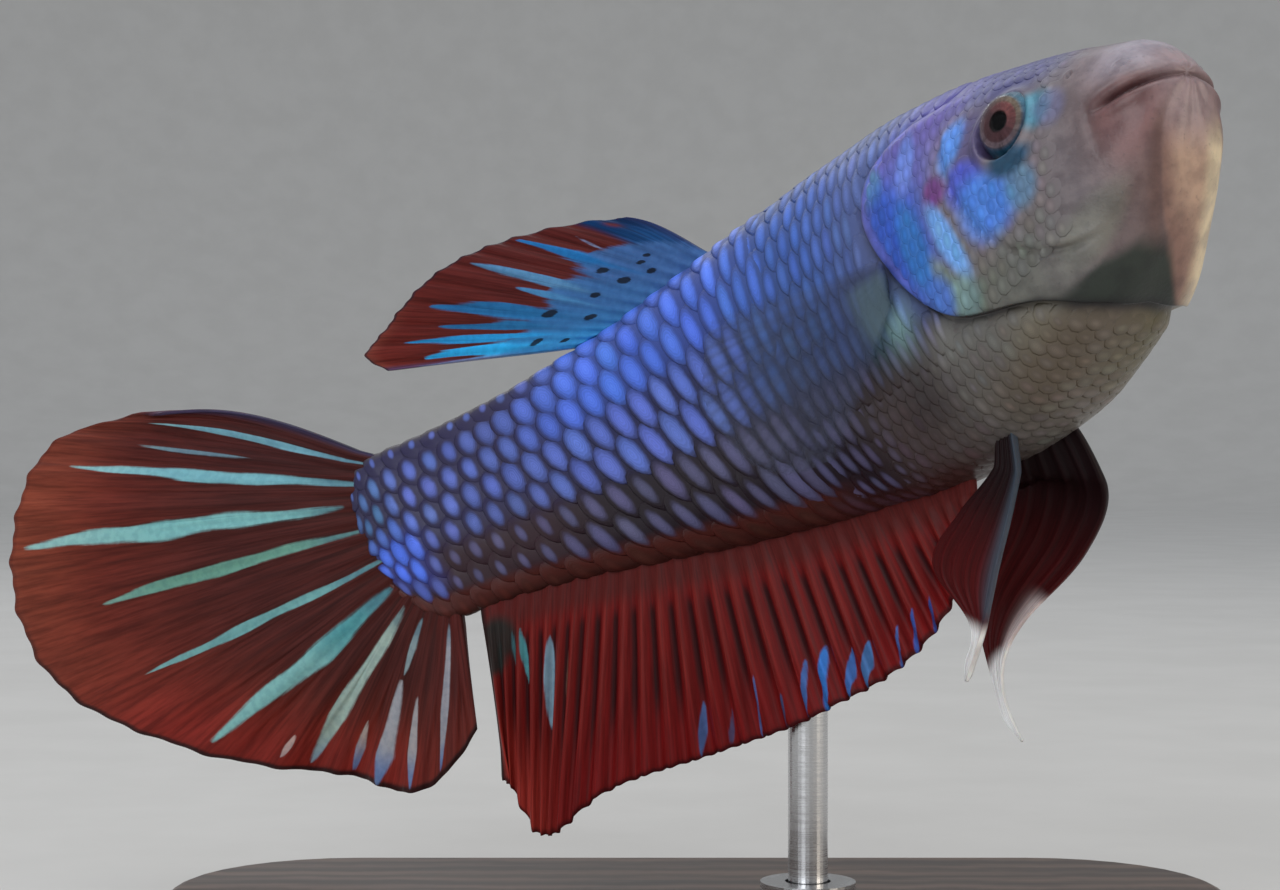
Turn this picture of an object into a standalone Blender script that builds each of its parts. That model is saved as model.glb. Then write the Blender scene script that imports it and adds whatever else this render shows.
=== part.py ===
"""A short-finned Siamese fighting fish, life size, turning and rising on a plain display stand.

Every point of the fish is given by a station t along its spine (0 at the snout, 1 at the end of the
backbone), a height u above the spine and an offset w to the fish's left. The spine is a curve that
turns and climbs from the tail to the snout, so the same numbers make the fish in its pose.
The world is in metres with +Z up, and its origin is the middle of the underside of the stand's base.
"""
import math

import bmesh
import bpy
import numpy as np
from mathutils import Matrix, Vector

MM = 0.001

# ---- the fish as a whole -------------------------------------------------------------------------
STANDARD_LENGTH = 53.0 * MM        # snout to the end of the backbone
GAP = 0.3 * MM                     # clearance between neighbouring solids
TURN_STATIONS = [0.0, 0.2, 0.4, 0.7, 1.0]
HEADING_DEG = [61.0, 59.0, 47.0, 34.0, 19.5]   # how far the spine points to -Y, snout to tail
CLIMB_DEG = [26.0, 24.0, 25.0, 19.5, 22.0]     # how far it points up, snout to tail
HELD_STATION = 0.45                # the station whose place in the world is given
HELD_AT = np.array([8.0, -1.0, 32.8]) * MM
TAIL_SLANT = 0.20                  # the tail fin's base leans back by this share of its height

# ---- the body's sections, in millimetres from the spine ------------------------------------------
STATIONS = [0.0, 0.03, 0.07, 0.12, 0.20, 0.30, 0.40, 0.50, 0.60, 0.75, 0.90, 1.0]
BACK = [1.5, 2.8, 4.0, 5.2, 6.8, 8.1, 8.55, 8.4, 7.85, 6.5, 5.55, 5.5]
BELLY = [0.3, -2.0, -4.4, -6.3, -8.1, -9.3, -9.1, -8.1, -7.25, -6.05, -5.1, -4.8]
HALF_WIDTH = [1.4, 2.3, 3.3, 4.3, 5.2, 5.5, 5.1, 4.5, 3.8, 2.6, 1.65, 1.15]
LOWER_STATIONS = [0.0, 0.07, 0.15, 0.25, 0.35, 0.50, 1.0]
LOWER_FULLNESS = [0.92, 0.78, 0.72, 0.64, 0.80, 0.92, 0.92]   # 0.92 is nearly oval, less is squarer
UPPER_FULLNESS = 0.92
TAIL_LOBE = 0.065                  # how far the scaled lobe runs past the backbone onto the tail fin
TAIL_LOBE_CUT = 0.985              # the share of the lobe's round end that is kept
TAIL_LOBE_END = 0.35               # the lobe's width at its end, as a share of its width at t = 1

SNOUT_STATION = 0.020
HEAD_END = 0.340
FLANK_START = 0.50
STOCK_START = 0.78

# ---- head parts ----------------------------------------------------------------------------------
GILL_COVER_THICK = 0.6 * MM
GILL_RECESS = 1.25 * (GAP + GILL_COVER_THICK)
GILL_RECESS_START, GILL_RECESS_END = 0.195, 0.225
GILL_COVER_FRONT, GILL_COVER_LEAN = 0.236, 0.010
GILL_COVER_REAR = HEAD_END - 0.006
GILL_COVER_TOP_DEG, GILL_COVER_BOTTOM_DEG = 40.0, -44.0
GILL_COVER_END_DEPTH = 0.028       # how deep the cover is at its upper and lower ends, as a station
EYE_STATION, EYE_HEIGHT, EYE_OFFSET = 0.157, 2.05 * MM, 3.25 * MM
EYE_RADIUS = 1.65 * MM
JAW_FRONT_STATION, JAW_HINGE_STATION = -0.05, 0.085
MOUTH_TIP_HEIGHT, MOUTH_CORNER_HEIGHT = 0.7 * MM, 0.2 * MM
THROAT_END = 0.29
THROAT_DEPTH = 1.9 * MM
BELOW_ALL = -18.0 * MM             # a height under the whole fish, for the helpers that cut it

# ---- fins: where each base runs, and how its rays turn (0 is straight back) and lengthen ----------
FIN_CLEARANCE = GAP + 0.1 * MM
FIN_ROOT_THICK, FIN_EDGE_THICK = 0.9 * MM, 0.5 * MM

DORSAL_BASE, DORSAL_RAYS = (0.60, 0.79), 12
DORSAL_ALONG = [0.0, 0.2, 0.5, 0.8, 0.93, 1.0]
DORSAL_TURN_DEG = [44.5, 36.0, 31.0, 21.0, 17.0, 15.0]
DORSAL_LENGTH = [5.7, 9.6, 12.0, 13.6, 13.6, 11.4]

ANAL_BASE, ANAL_RAYS = (0.40, 0.985), 28
ANAL_ALONG = [0.0, 0.1, 0.3, 0.5, 0.7, 0.82, 0.90, 0.95, 1.0]
ANAL_TURN_DEG = [-70.0, -71.0, -72.5, -70.5, -68.0, -66.0, -66.0, -66.0, -66.0]
ANAL_LENGTH = [1.8, 5.8, 8.4, 9.7, 11.0, 12.7, 12.8, 12.2, 9.2]

CAUDAL_RAYS = 24
CAUDAL_ROOT_ABOVE, CAUDAL_ROOT_BELOW = 5.95 * MM, 5.30 * MM
CAUDAL_DOWN = [0.0, 0.1, 0.25, 0.45, 0.6, 0.75, 0.9, 1.0]
CAUDAL_TURN_DEG = [39.0, 31.5, 20.0, 3.0, -13.0, -34.5, -54.0, -66.0]
CAUDAL_LENGTH = [12.0, 16.8, 20.4, 20.6, 16.0, 11.4, 9.5, 5.8]
CAUDAL_CUP = 1.6 * MM

PECTORAL_ROOT_STATION, PECTORAL_ROOT_TOP, PECTORAL_ROOT_SPAN = 0.345, 0.2 * MM, 3.4 * MM
PECTORAL_RAYS = 9
PECTORAL_LENGTH = [8.0, 9.8, 8.4, 5.5]
PECTORAL_TOP_DEG, PECTORAL_BOTTOM_DEG = 12.0, -50.0

PELVIC_ROOT_STATION, PELVIC_ROOT_OFFSET = 0.30, 1.6 * MM
PELVIC_OUT = [0.0, 0.12, 0.35, 0.62, 0.76, 1.0]
RIGHT_PELVIC_BREADTH = [0.9, 1.5, 2.8, 3.3, 0.9, 0.5]
LEFT_PELVIC_BREADTH = [3.0, 4.2, 3.4, 2.1, 0.8, 0.5]
RIGHT_PELVIC_SLANT, LEFT_PELVIC_SLANT = 0.1, -0.5    # how far the blade's rear edge stands out
PELVIC_THICK = 0.6 * MM
RIGHT_PELVIC_LENGTH, LEFT_PELVIC_LENGTH = 11.0 * MM, 15.2 * MM
RIGHT_PELVIC_TURN_DEG = [-62.0, -56.0, -48.0, -50.0, -44.0, -40.0]
LEFT_PELVIC_TURN_DEG = [-98.0, -54.0, -31.0, -33.0, -64.0, -106.0]
RIGHT_PELVIC_SPLAY = [0.0, 0.1, 0.2, 0.3, 0.3, 0.3]
LEFT_PELVIC_SPLAY = [0.6, 1.9, 2.2, 0.8, 0.1, 0.1]

# ---- stand ---------------------------------------------------------------------------------------
BASE_LENGTH, BASE_WIDTH, BASE_THICK = 56.0 * MM, 42.0 * MM, 4.0 * MM
BASE_CORNER, BASE_BEVEL = 9.0 * MM, 0.5 * MM
ROD_RADIUS = 1.0 * MM
ROD_STATION, ROD_OFFSET = 0.56, 2.2 * MM
ROD_IN_BODY = 3.0 * MM
ROD_IN_BASE = 2.5 * MM
COLLAR_RADIUS, COLLAR_HEIGHT = 2.4 * MM, 1.6 * MM

# ---- materials: base colour, roughness, metallic -------------------------------------------------
FINISHES = {
    "body": ((0.16, 0.20, 0.62, 1.0), 0.35, 0.2),
    "head": ((0.24, 0.22, 0.36, 1.0), 0.40, 0.1),
    "fin": ((0.32, 0.04, 0.03, 1.0), 0.45, 0.0),
    "clear_fin": ((0.42, 0.46, 0.52, 1.0), 0.35, 0.0),
    "eye": ((0.02, 0.015, 0.015, 1.0), 0.08, 0.0),
    "stand_wood": ((0.06, 0.035, 0.02, 1.0), 0.35, 0.0),
    "stand_steel": ((0.62, 0.62, 0.63, 1.0), 0.28, 1.0),
}


# ==== helpers =====================================================================================
def smooth_through(x, xs, ys):
    """A cubic through the points (xs, ys), with each slope taken from its neighbours."""
    xs, ys = np.asarray(xs, float), np.asarray(ys, float)
    slopes = np.gradient(ys, xs)
    x = np.clip(np.asarray(x, float), xs[0], xs[-1])
    i = np.clip(np.searchsorted(xs, x, side="right") - 1, 0, len(xs) - 2)
    h = xs[i + 1] - xs[i]
    s = (x - xs[i]) / h
    return (
        (2 * s**3 - 3 * s**2 + 1) * ys[i]
        + (s**3 - 2 * s**2 + s) * h * slopes[i]
        + (3 * s**2 - 2 * s**3) * ys[i + 1]
        + (s**3 - s**2) * h * slopes[i + 1]
    )


def smooth_step(x, low, high):
    s = np.clip((np.asarray(x, float) - low) / (high - low), 0.0, 1.0)
    return s * s * (3 - 2 * s)


def spine_table(count=401):
    """Stations with the spine's point and its forward, up and left directions at each."""
    t = np.linspace(0.0, 1.0, count)
    turn = np.radians(smooth_through(t, TURN_STATIONS, HEADING_DEG))
    climb = np.radians(smooth_through(t, TURN_STATIONS, CLIMB_DEG))
    forward = np.stack(
        [np.cos(climb) * np.cos(turn), -np.cos(climb) * np.sin(turn), np.sin(climb)], axis=1
    )
    steps = (forward[1:] + forward[:-1]) / 2 * STANDARD_LENGTH / (count - 1)
    points = np.vstack([np.zeros(3), -np.cumsum(steps, axis=0)])
    points += HELD_AT - points[round(HELD_STATION * (count - 1))]
    left = np.cross([0.0, 0.0, 1.0], forward)
    left /= np.linalg.norm(left, axis=1, keepdims=True)
    up = np.cross(forward, left)
    return t, points, forward, up, left


SPINE = spine_table()


def directions(t):
    """The spine's forward, up and left directions at station t."""
    table, _, forward, up, left = SPINE
    return tuple(
        np.stack([np.interp(t, table, way[:, k]) for k in range(3)], axis=-1)
        for way in (forward, up, left)
    )


def place(t, u, w, ahead=0.0):
    """World points at station t, u above the spine, w to the left and ahead further forward."""
    t = np.asarray(t, float)
    table, points = SPINE[:2]
    base = np.stack([np.interp(t, table, points[:, k]) for k in range(3)], axis=-1)
    forward, up, left = directions(t)
    beyond = (np.clip(t, None, 0.0) + np.clip(t - 1.0, 0.0, None)) * STANDARD_LENGTH
    slant = TAIL_SLANT * np.asarray(u, float) * smooth_step(t, 0.8, 1.0)
    ahead = np.asarray(ahead, float) - beyond - slant
    return (
        base
        + ahead[..., None] * forward
        + np.asarray(u, float)[..., None] * up
        + np.asarray(w, float)[..., None] * left
    )


def body_size(t):
    """Height of the back, height of the belly and half the width at station t, in metres."""
    t = np.asarray(t, float)
    past = np.clip((t - 1.0) / TAIL_LOBE, 0.0, TAIL_LOBE_CUT)
    rounding = np.sqrt(1.0 - past**2)
    back = smooth_through(t, STATIONS, BACK) * rounding
    belly = smooth_through(t, STATIONS, BELLY) * rounding
    width = smooth_through(t, STATIONS, HALF_WIDTH) * (1.0 - (1.0 - TAIL_LOBE_END) * past)
    return back * MM, belly * MM, width * MM


def section(t, angle):
    """(u, w) of the body's skin at station t: angle 0 is the left side, 90 degrees the back."""
    back, belly, width = body_size(t)
    middle = (back + belly) / 2
    half = (back - belly) / 2
    side, rise = np.cos(angle), np.sin(angle)
    lower = np.interp(t, LOWER_STATIONS, LOWER_FULLNESS)
    across = np.where(rise < 0, lower, UPPER_FULLNESS)
    upward = np.where(rise < 0, 0.5 + 0.5 * lower / UPPER_FULLNESS, 1.0)
    return (
        middle + half * np.sign(rise) * np.abs(rise) ** upward,
        width * np.sign(side) * np.abs(side) ** across,
    )


def link(name, mesh, finish):
    obj = bpy.data.objects.new(name, mesh)
    obj.data.materials.append(MATERIALS[finish])
    FISH.objects.link(obj)
    return obj


def as_cutter(obj):
    """Moves a helper to the cutters' collection, where the render leaves it out."""
    for held_in in list(obj.users_collection):
        held_in.objects.unlink(obj)
    CUTTERS.objects.link(obj)
    obj.hide_render = True
    obj.display_type = "WIRE"
    return obj


def boolean(obj, cutter, operation):
    cut = obj.modifiers.new(f"{operation.lower()} {cutter.name}", "BOOLEAN")
    cut.operation = operation
    cut.solver = "EXACT"
    cut.object = cutter


def shade(mesh, angle_deg=35.0):
    mesh.shade_smooth()
    mesh.set_sharp_from_angle(angle=math.radians(angle_deg))


def loft(name, rings, finish):
    """A closed solid through rings of points, shape (rings, points, 3), with a fan at each end."""
    count, around = rings.shape[:2]
    vertices = [tuple(p) for p in rings.reshape(-1, 3)]
    faces = []
    for i in range(count - 1):
        for j in range(around):
            k = (j + 1) % around
            faces.append((i * around + j, i * around + k, (i + 1) * around + k, (i + 1) * around + j))
    for end in (0, count - 1):
        vertices.append(tuple(rings[end].mean(axis=0)))
        middle = len(vertices) - 1
        faces += [(end * around + j, end * around + (j + 1) % around, middle) for j in range(around)]
    mesh = bpy.data.meshes.new(name)
    mesh.from_pydata(vertices, [], faces)
    outward(mesh)
    shade(mesh)
    return link(name, mesh, finish)


def outward(mesh):
    bm = bmesh.new()
    bm.from_mesh(mesh)
    bmesh.ops.recalc_face_normals(bm, faces=bm.faces)
    bm.to_mesh(mesh)
    bm.free()


def sheet(name, grid, finish, thickness, edge_share=1.0, share=None):
    """A thin solid about an open grid of points, shape (rows, columns, 3), thinner where share is less."""
    rows, columns = grid.shape[:2]
    faces = [
        (i * columns + j, i * columns + j + 1, (i + 1) * columns + j + 1, (i + 1) * columns + j)
        for i in range(rows - 1)
        for j in range(columns - 1)
    ]
    mesh = bpy.data.meshes.new(name)
    mesh.from_pydata([tuple(p) for p in grid.reshape(-1, 3)], [], faces)
    mesh.shade_smooth()
    obj = link(name, mesh, finish)
    solidify = obj.modifiers.new("thickness", "SOLIDIFY")
    solidify.thickness = thickness
    solidify.offset = 0.0
    if share is not None:
        group = obj.vertex_groups.new(name="thickness")
        for index, value in enumerate(np.asarray(share).reshape(-1)):
            group.add([index], float(value), "REPLACE")
        solidify.vertex_group = group.name
        solidify.thickness_vertex_group = edge_share


# ==== body ========================================================================================
def body_stretch(name, start, end, rings, finish, around=28, recess=None):
    """The body between two stations, cut square to the spine."""
    t = np.linspace(start, end, rings)
    angles = np.linspace(0.0, 2 * np.pi, around, endpoint=False)
    stations, turned = np.meshgrid(t, angles, indexing="ij")
    u, w = section(stations, turned)
    if recess is not None:
        w = w - np.sign(w) * np.minimum(recess(stations, turned), np.abs(w))
    return loft(name, place(stations, u, w), finish)


def gill_recess(t, angle):
    """How much the head narrows beneath the gill covers, so that they lie flush with the trunk."""
    side = smooth_step(np.abs(np.cos(angle)), 0.30, 0.62)
    return GILL_RECESS * smooth_step(t, GILL_RECESS_START, GILL_RECESS_END) * side


def box_helper(name, stations, floors, roofs, reach=9.0 * MM):
    """A box bent to the fish: it runs between two stations, each with its own floor and roof."""
    bm = bmesh.new()
    bmesh.ops.create_cube(bm, size=2.0)
    for vertex in bm.verts:
        end = 0 if vertex.co.x < 0 else 1
        height = floors[end] if vertex.co.z < 0 else roofs[end]
        vertex.co = Vector(place(stations[end], height, vertex.co.y * reach))
    bmesh.ops.recalc_face_normals(bm, faces=bm.faces)
    mesh = bpy.data.meshes.new(name)
    bm.to_mesh(mesh)
    bm.free()
    return as_cutter(link(name, mesh, "head"))


def jaw_wedge(name, grow):
    """The wedge under the mouth line. It runs from ahead of the snout back to the jaw's hinge."""
    front, back = JAW_FRONT_STATION, JAW_HINGE_STATION + grow / STANDARD_LENGTH
    slope = (MOUTH_TIP_HEIGHT - MOUTH_CORNER_HEIGHT) / JAW_HINGE_STATION
    mouth = [MOUTH_TIP_HEIGHT - slope * front + grow, MOUTH_CORNER_HEIGHT + grow]
    return box_helper(name, (front, back), (BELOW_ALL, BELOW_ALL), mouth)


def throat_slab(name, grow):
    """The space under the gill covers' lower edges, where the throat's skin is."""
    front = JAW_HINGE_STATION + (2 * GAP - grow) / STANDARD_LENGTH
    back = THROAT_END + grow / STANDARD_LENGTH
    tops = [body_size(t)[1] + THROAT_DEPTH + grow for t in (front, back)]
    return box_helper(name, (front, back), (BELOW_ALL, BELOW_ALL), tops)


def ball(name, centre, radius, segments=18, rings=10):
    mesh = bpy.data.meshes.new(name)
    bm = bmesh.new()
    bmesh.ops.create_uvsphere(bm, u_segments=segments, v_segments=rings, radius=radius)
    bm.to_mesh(mesh)
    bm.free()
    mesh.shade_smooth()
    obj = link(name, mesh, "eye")
    obj.location = Vector(centre)
    return obj


def eye_centre(side):
    return place(EYE_STATION, EYE_HEIGHT, side * EYE_OFFSET)


def gill_cover(name, side):
    """A curved plate from cheek to shoulder: a grid over the skin, bulged to a round rear edge."""
    down = np.linspace(0.0, 1.0, 11)
    along = np.linspace(0.0, 1.0, 8)
    rows, columns = np.meshgrid(down, along, indexing="ij")
    angle = np.radians(GILL_COVER_TOP_DEG + (GILL_COVER_BOTTOM_DEG - GILL_COVER_TOP_DEG) * rows)
    round_edge = np.sqrt(np.clip(1.0 - 0.8 * (2 * rows - 0.85) ** 2, 0.0, 1.0))
    front = GILL_COVER_FRONT - GILL_COVER_LEAN * (2 * rows - 1)
    bulge = (GILL_COVER_REAR - GILL_COVER_FRONT - GILL_COVER_END_DEPTH) * round_edge
    t = front + (GILL_COVER_END_DEPTH + bulge) * columns
    u, w = section(t, angle)
    w = w - GILL_COVER_THICK / 2
    sheet(name, place(t, u, side * w), "head", GILL_COVER_THICK)


def build_body():
    half_gap = 0.5 * GAP / STANDARD_LENGTH
    head = body_stretch("head", SNOUT_STATION, HEAD_END - half_gap, 19, "head", recess=gill_recess)
    jaw = body_stretch("lower_jaw", SNOUT_STATION, HEAD_END - half_gap, 19, "head")
    throat = body_stretch("throat", SNOUT_STATION, HEAD_END - half_gap, 19, "head", recess=gill_recess)
    boolean(jaw, jaw_wedge("jaw_space", 0.0), "INTERSECT")
    boolean(throat, throat_slab("throat_space", 0.0), "INTERSECT")
    boolean(head, jaw_wedge("jaw_room", GAP), "DIFFERENCE")
    boolean(head, throat_slab("throat_room", GAP), "DIFFERENCE")
    for side, word in ((-1, "right"), (1, "left")):
        ball(f"eye_{word}", eye_centre(side), EYE_RADIUS)
        socket = as_cutter(ball(f"socket_{word}", eye_centre(side), EYE_RADIUS + GAP))
        boolean(head, socket, "DIFFERENCE")
        gill_cover(f"gill_cover_{word}", side)
    body_stretch("trunk_front", HEAD_END + half_gap, FLANK_START - half_gap, 11, "body")
    body_stretch("trunk_rear", FLANK_START + half_gap, STOCK_START - half_gap, 14, "body")
    body_stretch("tail_stock", STOCK_START + half_gap, 1.0 + TAIL_LOBE * TAIL_LOBE_CUT, 18, "body")


# ==== fins ========================================================================================
def fin_rays(t, u, w, turn_deg, length, lean=0.0, steps=8, wave=None):
    """Grid of points along straight rays that leave the base points (t, u, w).

    turn_deg turns a ray from straight back (0) to straight up (90) or down (-90). lean carries it to
    the left as it goes out, and wave(along, out) adds a sideways ripple.
    """
    out = np.linspace(0.0, 1.0, steps)[None, :]
    turn = np.radians(np.asarray(turn_deg, float))[:, None]
    reach = np.asarray(length, float)[:, None] * out
    aside = np.asarray(w, float)[:, None] + reach * lean
    if wave is not None:
        aside = aside + wave(np.linspace(0.0, 1.0, len(t))[:, None], out)
    stations = np.broadcast_to(np.asarray(t, float)[:, None], reach.shape)
    heights = np.asarray(u, float)[:, None] + reach * np.sin(turn)
    return place(stations, heights, aside, ahead=-reach * np.cos(turn))


def fin(name, grid, finish="fin", root_thick=FIN_ROOT_THICK):
    """A thin solid about the rays, thickest at its root."""
    share = np.broadcast_to(np.linspace(1.0, 0.0, grid.shape[1]), grid.shape[:2])
    sheet(name, grid, finish, root_thick, FIN_EDGE_THICK / root_thick, share)


def dorsal_fin():
    """Swept back: its rays lengthen from front to rear and lie flatter."""
    along = np.linspace(0.0, 1.0, DORSAL_RAYS)
    t = DORSAL_BASE[0] + (DORSAL_BASE[1] - DORSAL_BASE[0]) * along
    u = body_size(t)[0] + FIN_CLEARANCE
    turn = smooth_through(along, DORSAL_ALONG, DORSAL_TURN_DEG)
    length = smooth_through(along, DORSAL_ALONG, DORSAL_LENGTH) * MM

    def ripple(along, out):
        return 0.5 * MM * np.sin(2.4 * np.pi * along + 0.6) * out**1.5

    fin("dorsal_fin", fin_rays(t, u, 0 * t, turn, length, wave=ripple))


def anal_fin():
    """Long based: its rays lengthen to a point near the rear."""
    along = np.linspace(0.0, 1.0, ANAL_RAYS)
    t = ANAL_BASE[0] + (ANAL_BASE[1] - ANAL_BASE[0]) * along
    u = body_size(t)[1] - FIN_CLEARANCE
    turn = smooth_through(along, ANAL_ALONG, ANAL_TURN_DEG)
    length = smooth_through(along, ANAL_ALONG, ANAL_LENGTH) * MM

    def ripple(along, out):
        return 0.45 * MM * np.sin(5.0 * np.pi * along) * out**1.5

    fin("anal_fin", fin_rays(t, u, 0 * t, turn, length, steps=7, wave=ripple))


def caudal_fin():
    """A wide fan from the tail's scaled lobe, cupped, with its upper and lower rays shorter."""
    down = np.linspace(0.0, 1.0, CAUDAL_RAYS)
    around = np.pi * (0.04 + 0.92 * down)
    u = np.where(np.cos(around) > 0, CAUDAL_ROOT_ABOVE, CAUDAL_ROOT_BELOW) * np.cos(around)
    t = 1.0 + (TAIL_LOBE + 1.2 * FIN_CLEARANCE / STANDARD_LENGTH) * np.sin(around)
    turn = smooth_through(down, CAUDAL_DOWN, CAUDAL_TURN_DEG)
    length = smooth_through(down, CAUDAL_DOWN, CAUDAL_LENGTH) * MM

    def cup(along, out):
        ripple = 0.6 * MM * np.sin(6.0 * np.pi * along) * out**1.5
        return CAUDAL_CUP * np.sin(np.pi * along) * out**2 + ripple

    grid = fin_rays(t, u, 0 * t, turn, length, steps=11, wave=cup)
    fin("caudal_fin", grid, root_thick=0.8 * MM)


def pectoral_fin(name, side):
    """A clear fan low on the shoulder, just behind the gill cover, held a little off the flank."""
    down = np.linspace(0.0, 1.0, PECTORAL_RAYS)
    t = np.full(PECTORAL_RAYS, PECTORAL_ROOT_STATION)
    u = PECTORAL_ROOT_TOP - PECTORAL_ROOT_SPAN * down
    back, belly, width = body_size(t)
    middle, half = (back + belly) / 2, (back - belly) / 2
    skin = width * np.sqrt(1.0 - ((u - middle) / half) ** 2)
    w = side * (skin + 0.8 * MM)
    turn = PECTORAL_TOP_DEG + (PECTORAL_BOTTOM_DEG - PECTORAL_TOP_DEG) * down
    length = smooth_through(down, [0.0, 0.35, 0.7, 1.0], PECTORAL_LENGTH) * MM
    grid = fin_rays(t, u, w, turn, length, lean=side * 0.2, steps=7)
    fin(name, grid, "clear_fin", root_thick=0.6 * MM)


def pelvic_fin(name, side, length, turns_deg, splay, breadths, slant):
    """A narrow blade under the breast: its leading edge is a curve that ends in a long thin tip."""
    out = np.linspace(0.0, 1.0, 17)
    across = np.linspace(0.0, 1.0, 4)
    root_u = body_size(PELVIC_ROOT_STATION)[1] - FIN_CLEARANCE
    breadth = smooth_through(out, PELVIC_OUT, breadths) * MM
    turn = np.radians(smooth_through(out, PELVIC_OUT, turns_deg))
    step = length / (len(out) - 1)
    back = np.concatenate([[0.0], np.cumsum(step * np.cos(turn[1:]))])
    rise = np.concatenate([[0.0], np.cumsum(step * np.sin(turn[1:]))])
    spread = across[None, :] * breadth[:, None]
    backs = back[:, None] - spread * np.sin(turn)[:, None]
    rises = np.minimum(rise[:, None] + spread * np.cos(turn)[:, None], 0.0)
    outward = smooth_through(out, PELVIC_OUT, splay)[:, None] * MM
    aside = side * (PELVIC_ROOT_OFFSET + outward + slant * spread)
    stations = np.full_like(backs, PELVIC_ROOT_STATION)
    sheet(name, place(stations, root_u + rises, aside, ahead=-backs), "fin", PELVIC_THICK)


def build_fins():
    dorsal_fin()
    anal_fin()
    caudal_fin()
    for side, word in ((-1, "right"), (1, "left")):
        pectoral_fin(f"pectoral_fin_{word}", side)
    pelvic_fin("pelvic_fin_right", -1, RIGHT_PELVIC_LENGTH, RIGHT_PELVIC_TURN_DEG,
               RIGHT_PELVIC_SPLAY, RIGHT_PELVIC_BREADTH, RIGHT_PELVIC_SLANT)
    pelvic_fin("pelvic_fin_left", 1, LEFT_PELVIC_LENGTH, LEFT_PELVIC_TURN_DEG,
               LEFT_PELVIC_SPLAY, LEFT_PELVIC_BREADTH, LEFT_PELVIC_SLANT)


# ==== stand =======================================================================================
def rod_foot():
    """World x and y of the rod, which stands upright under the left of the belly."""
    return place(ROD_STATION, 0.0, ROD_OFFSET)[:2]


def upright(name, radius, bottom, top, finish, segments=32):
    """A vertical cylinder on the rod's axis."""
    mesh = bpy.data.meshes.new(name)
    bm = bmesh.new()
    bmesh.ops.create_cone(
        bm, cap_ends=True, segments=segments, radius1=radius, radius2=radius, depth=top - bottom
    )
    bm.to_mesh(mesh)
    bm.free()
    shade(mesh)
    obj = link(name, mesh, finish)
    x, y = rod_foot()
    obj.location = (x, y, (top + bottom) / 2)
    return obj


def stand_base():
    """A flat plate with rounded corners and softened edges."""
    mesh = bpy.data.meshes.new("stand_base")
    bm = bmesh.new()
    bmesh.ops.create_cube(bm, size=1.0, matrix=Matrix.Diagonal((BASE_LENGTH, BASE_WIDTH, BASE_THICK, 1.0)))
    corners = [e for e in bm.edges if abs(e.verts[0].co.z - e.verts[1].co.z) > BASE_THICK / 2]
    bmesh.ops.bevel(bm, geom=corners, offset=BASE_CORNER, segments=8, profile=0.5, affect="EDGES")
    bm.to_mesh(mesh)
    bm.free()
    obj = link("stand_base", mesh, "stand_wood")
    obj.location.z = BASE_THICK / 2
    softened = obj.modifiers.new("softened edges", "BEVEL")
    softened.width = BASE_BEVEL
    softened.segments = 2
    softened.limit_method = "ANGLE"
    softened.angle_limit = math.radians(60.0)
    shade(mesh)
    return obj


def build_stand():
    base = stand_base()
    foot = BASE_THICK - ROD_IN_BASE
    back, belly, width = body_size(ROD_STATION)
    middle, half = (back + belly) / 2, (back - belly) / 2
    meets = middle - half * math.sqrt(1.0 - (ROD_OFFSET / width) ** 2)
    top = float(place(ROD_STATION, meets, ROD_OFFSET)[2]) + ROD_IN_BODY
    upright("stand_rod", ROD_RADIUS, foot + GAP, top, "stand_steel")
    seat = as_cutter(upright("rod_seat", ROD_RADIUS + GAP / 2, foot, BASE_THICK * 2, "stand_wood"))
    socket = as_cutter(upright("rod_socket", ROD_RADIUS + GAP / 2, BASE_THICK * 2, top + GAP, "stand_wood"))
    boolean(base, seat, "DIFFERENCE")
    boolean(bpy.data.objects["trunk_rear"], socket, "DIFFERENCE")
    collar = upright(
        "stand_collar", COLLAR_RADIUS, BASE_THICK + GAP / 2, BASE_THICK + COLLAR_HEIGHT, "stand_steel"
    )
    bore = as_cutter(upright("collar_bore", ROD_RADIUS + GAP / 2, 0.0, BASE_THICK * 2, "stand_steel"))
    boolean(collar, bore, "DIFFERENCE")


# ==== scene =======================================================================================
def material(name, colour, roughness, metallic):
    made = bpy.data.materials.new(name)
    made.use_nodes = True
    shader = made.node_tree.nodes["Principled BSDF"]
    shader.inputs["Base Color"].default_value = colour
    shader.inputs["Roughness"].default_value = roughness
    shader.inputs["Metallic"].default_value = metallic
    made.diffuse_color = colour
    return made


def collection(name):
    made = bpy.data.collections.new(name)
    bpy.context.scene.collection.children.link(made)
    return made


for obj in list(bpy.data.objects):
    bpy.data.objects.remove(obj)
FISH = collection("betta fish")
CUTTERS = collection("cutters")
MATERIALS = {name: material(name, *finish) for name, finish in FINISHES.items()}
build_body()
build_fins()
build_stand()
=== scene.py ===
"""The looks of a short-finned Siamese fighting fish, life size, held on a plain display stand.

Lengths are in millimetres until a mesh is made. A point of the fish is given by a station t along its
spine (0 at the snout, 1 at the end of the backbone), a height u above the spine and an offset w to
the fish's left. On the skin, `down` is the angle in degrees from the back (0) by the side (90) to the
belly (180), the same on both sides, and q is the share of the way round, from the back down the right
side and up the left.
"""
import math

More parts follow.
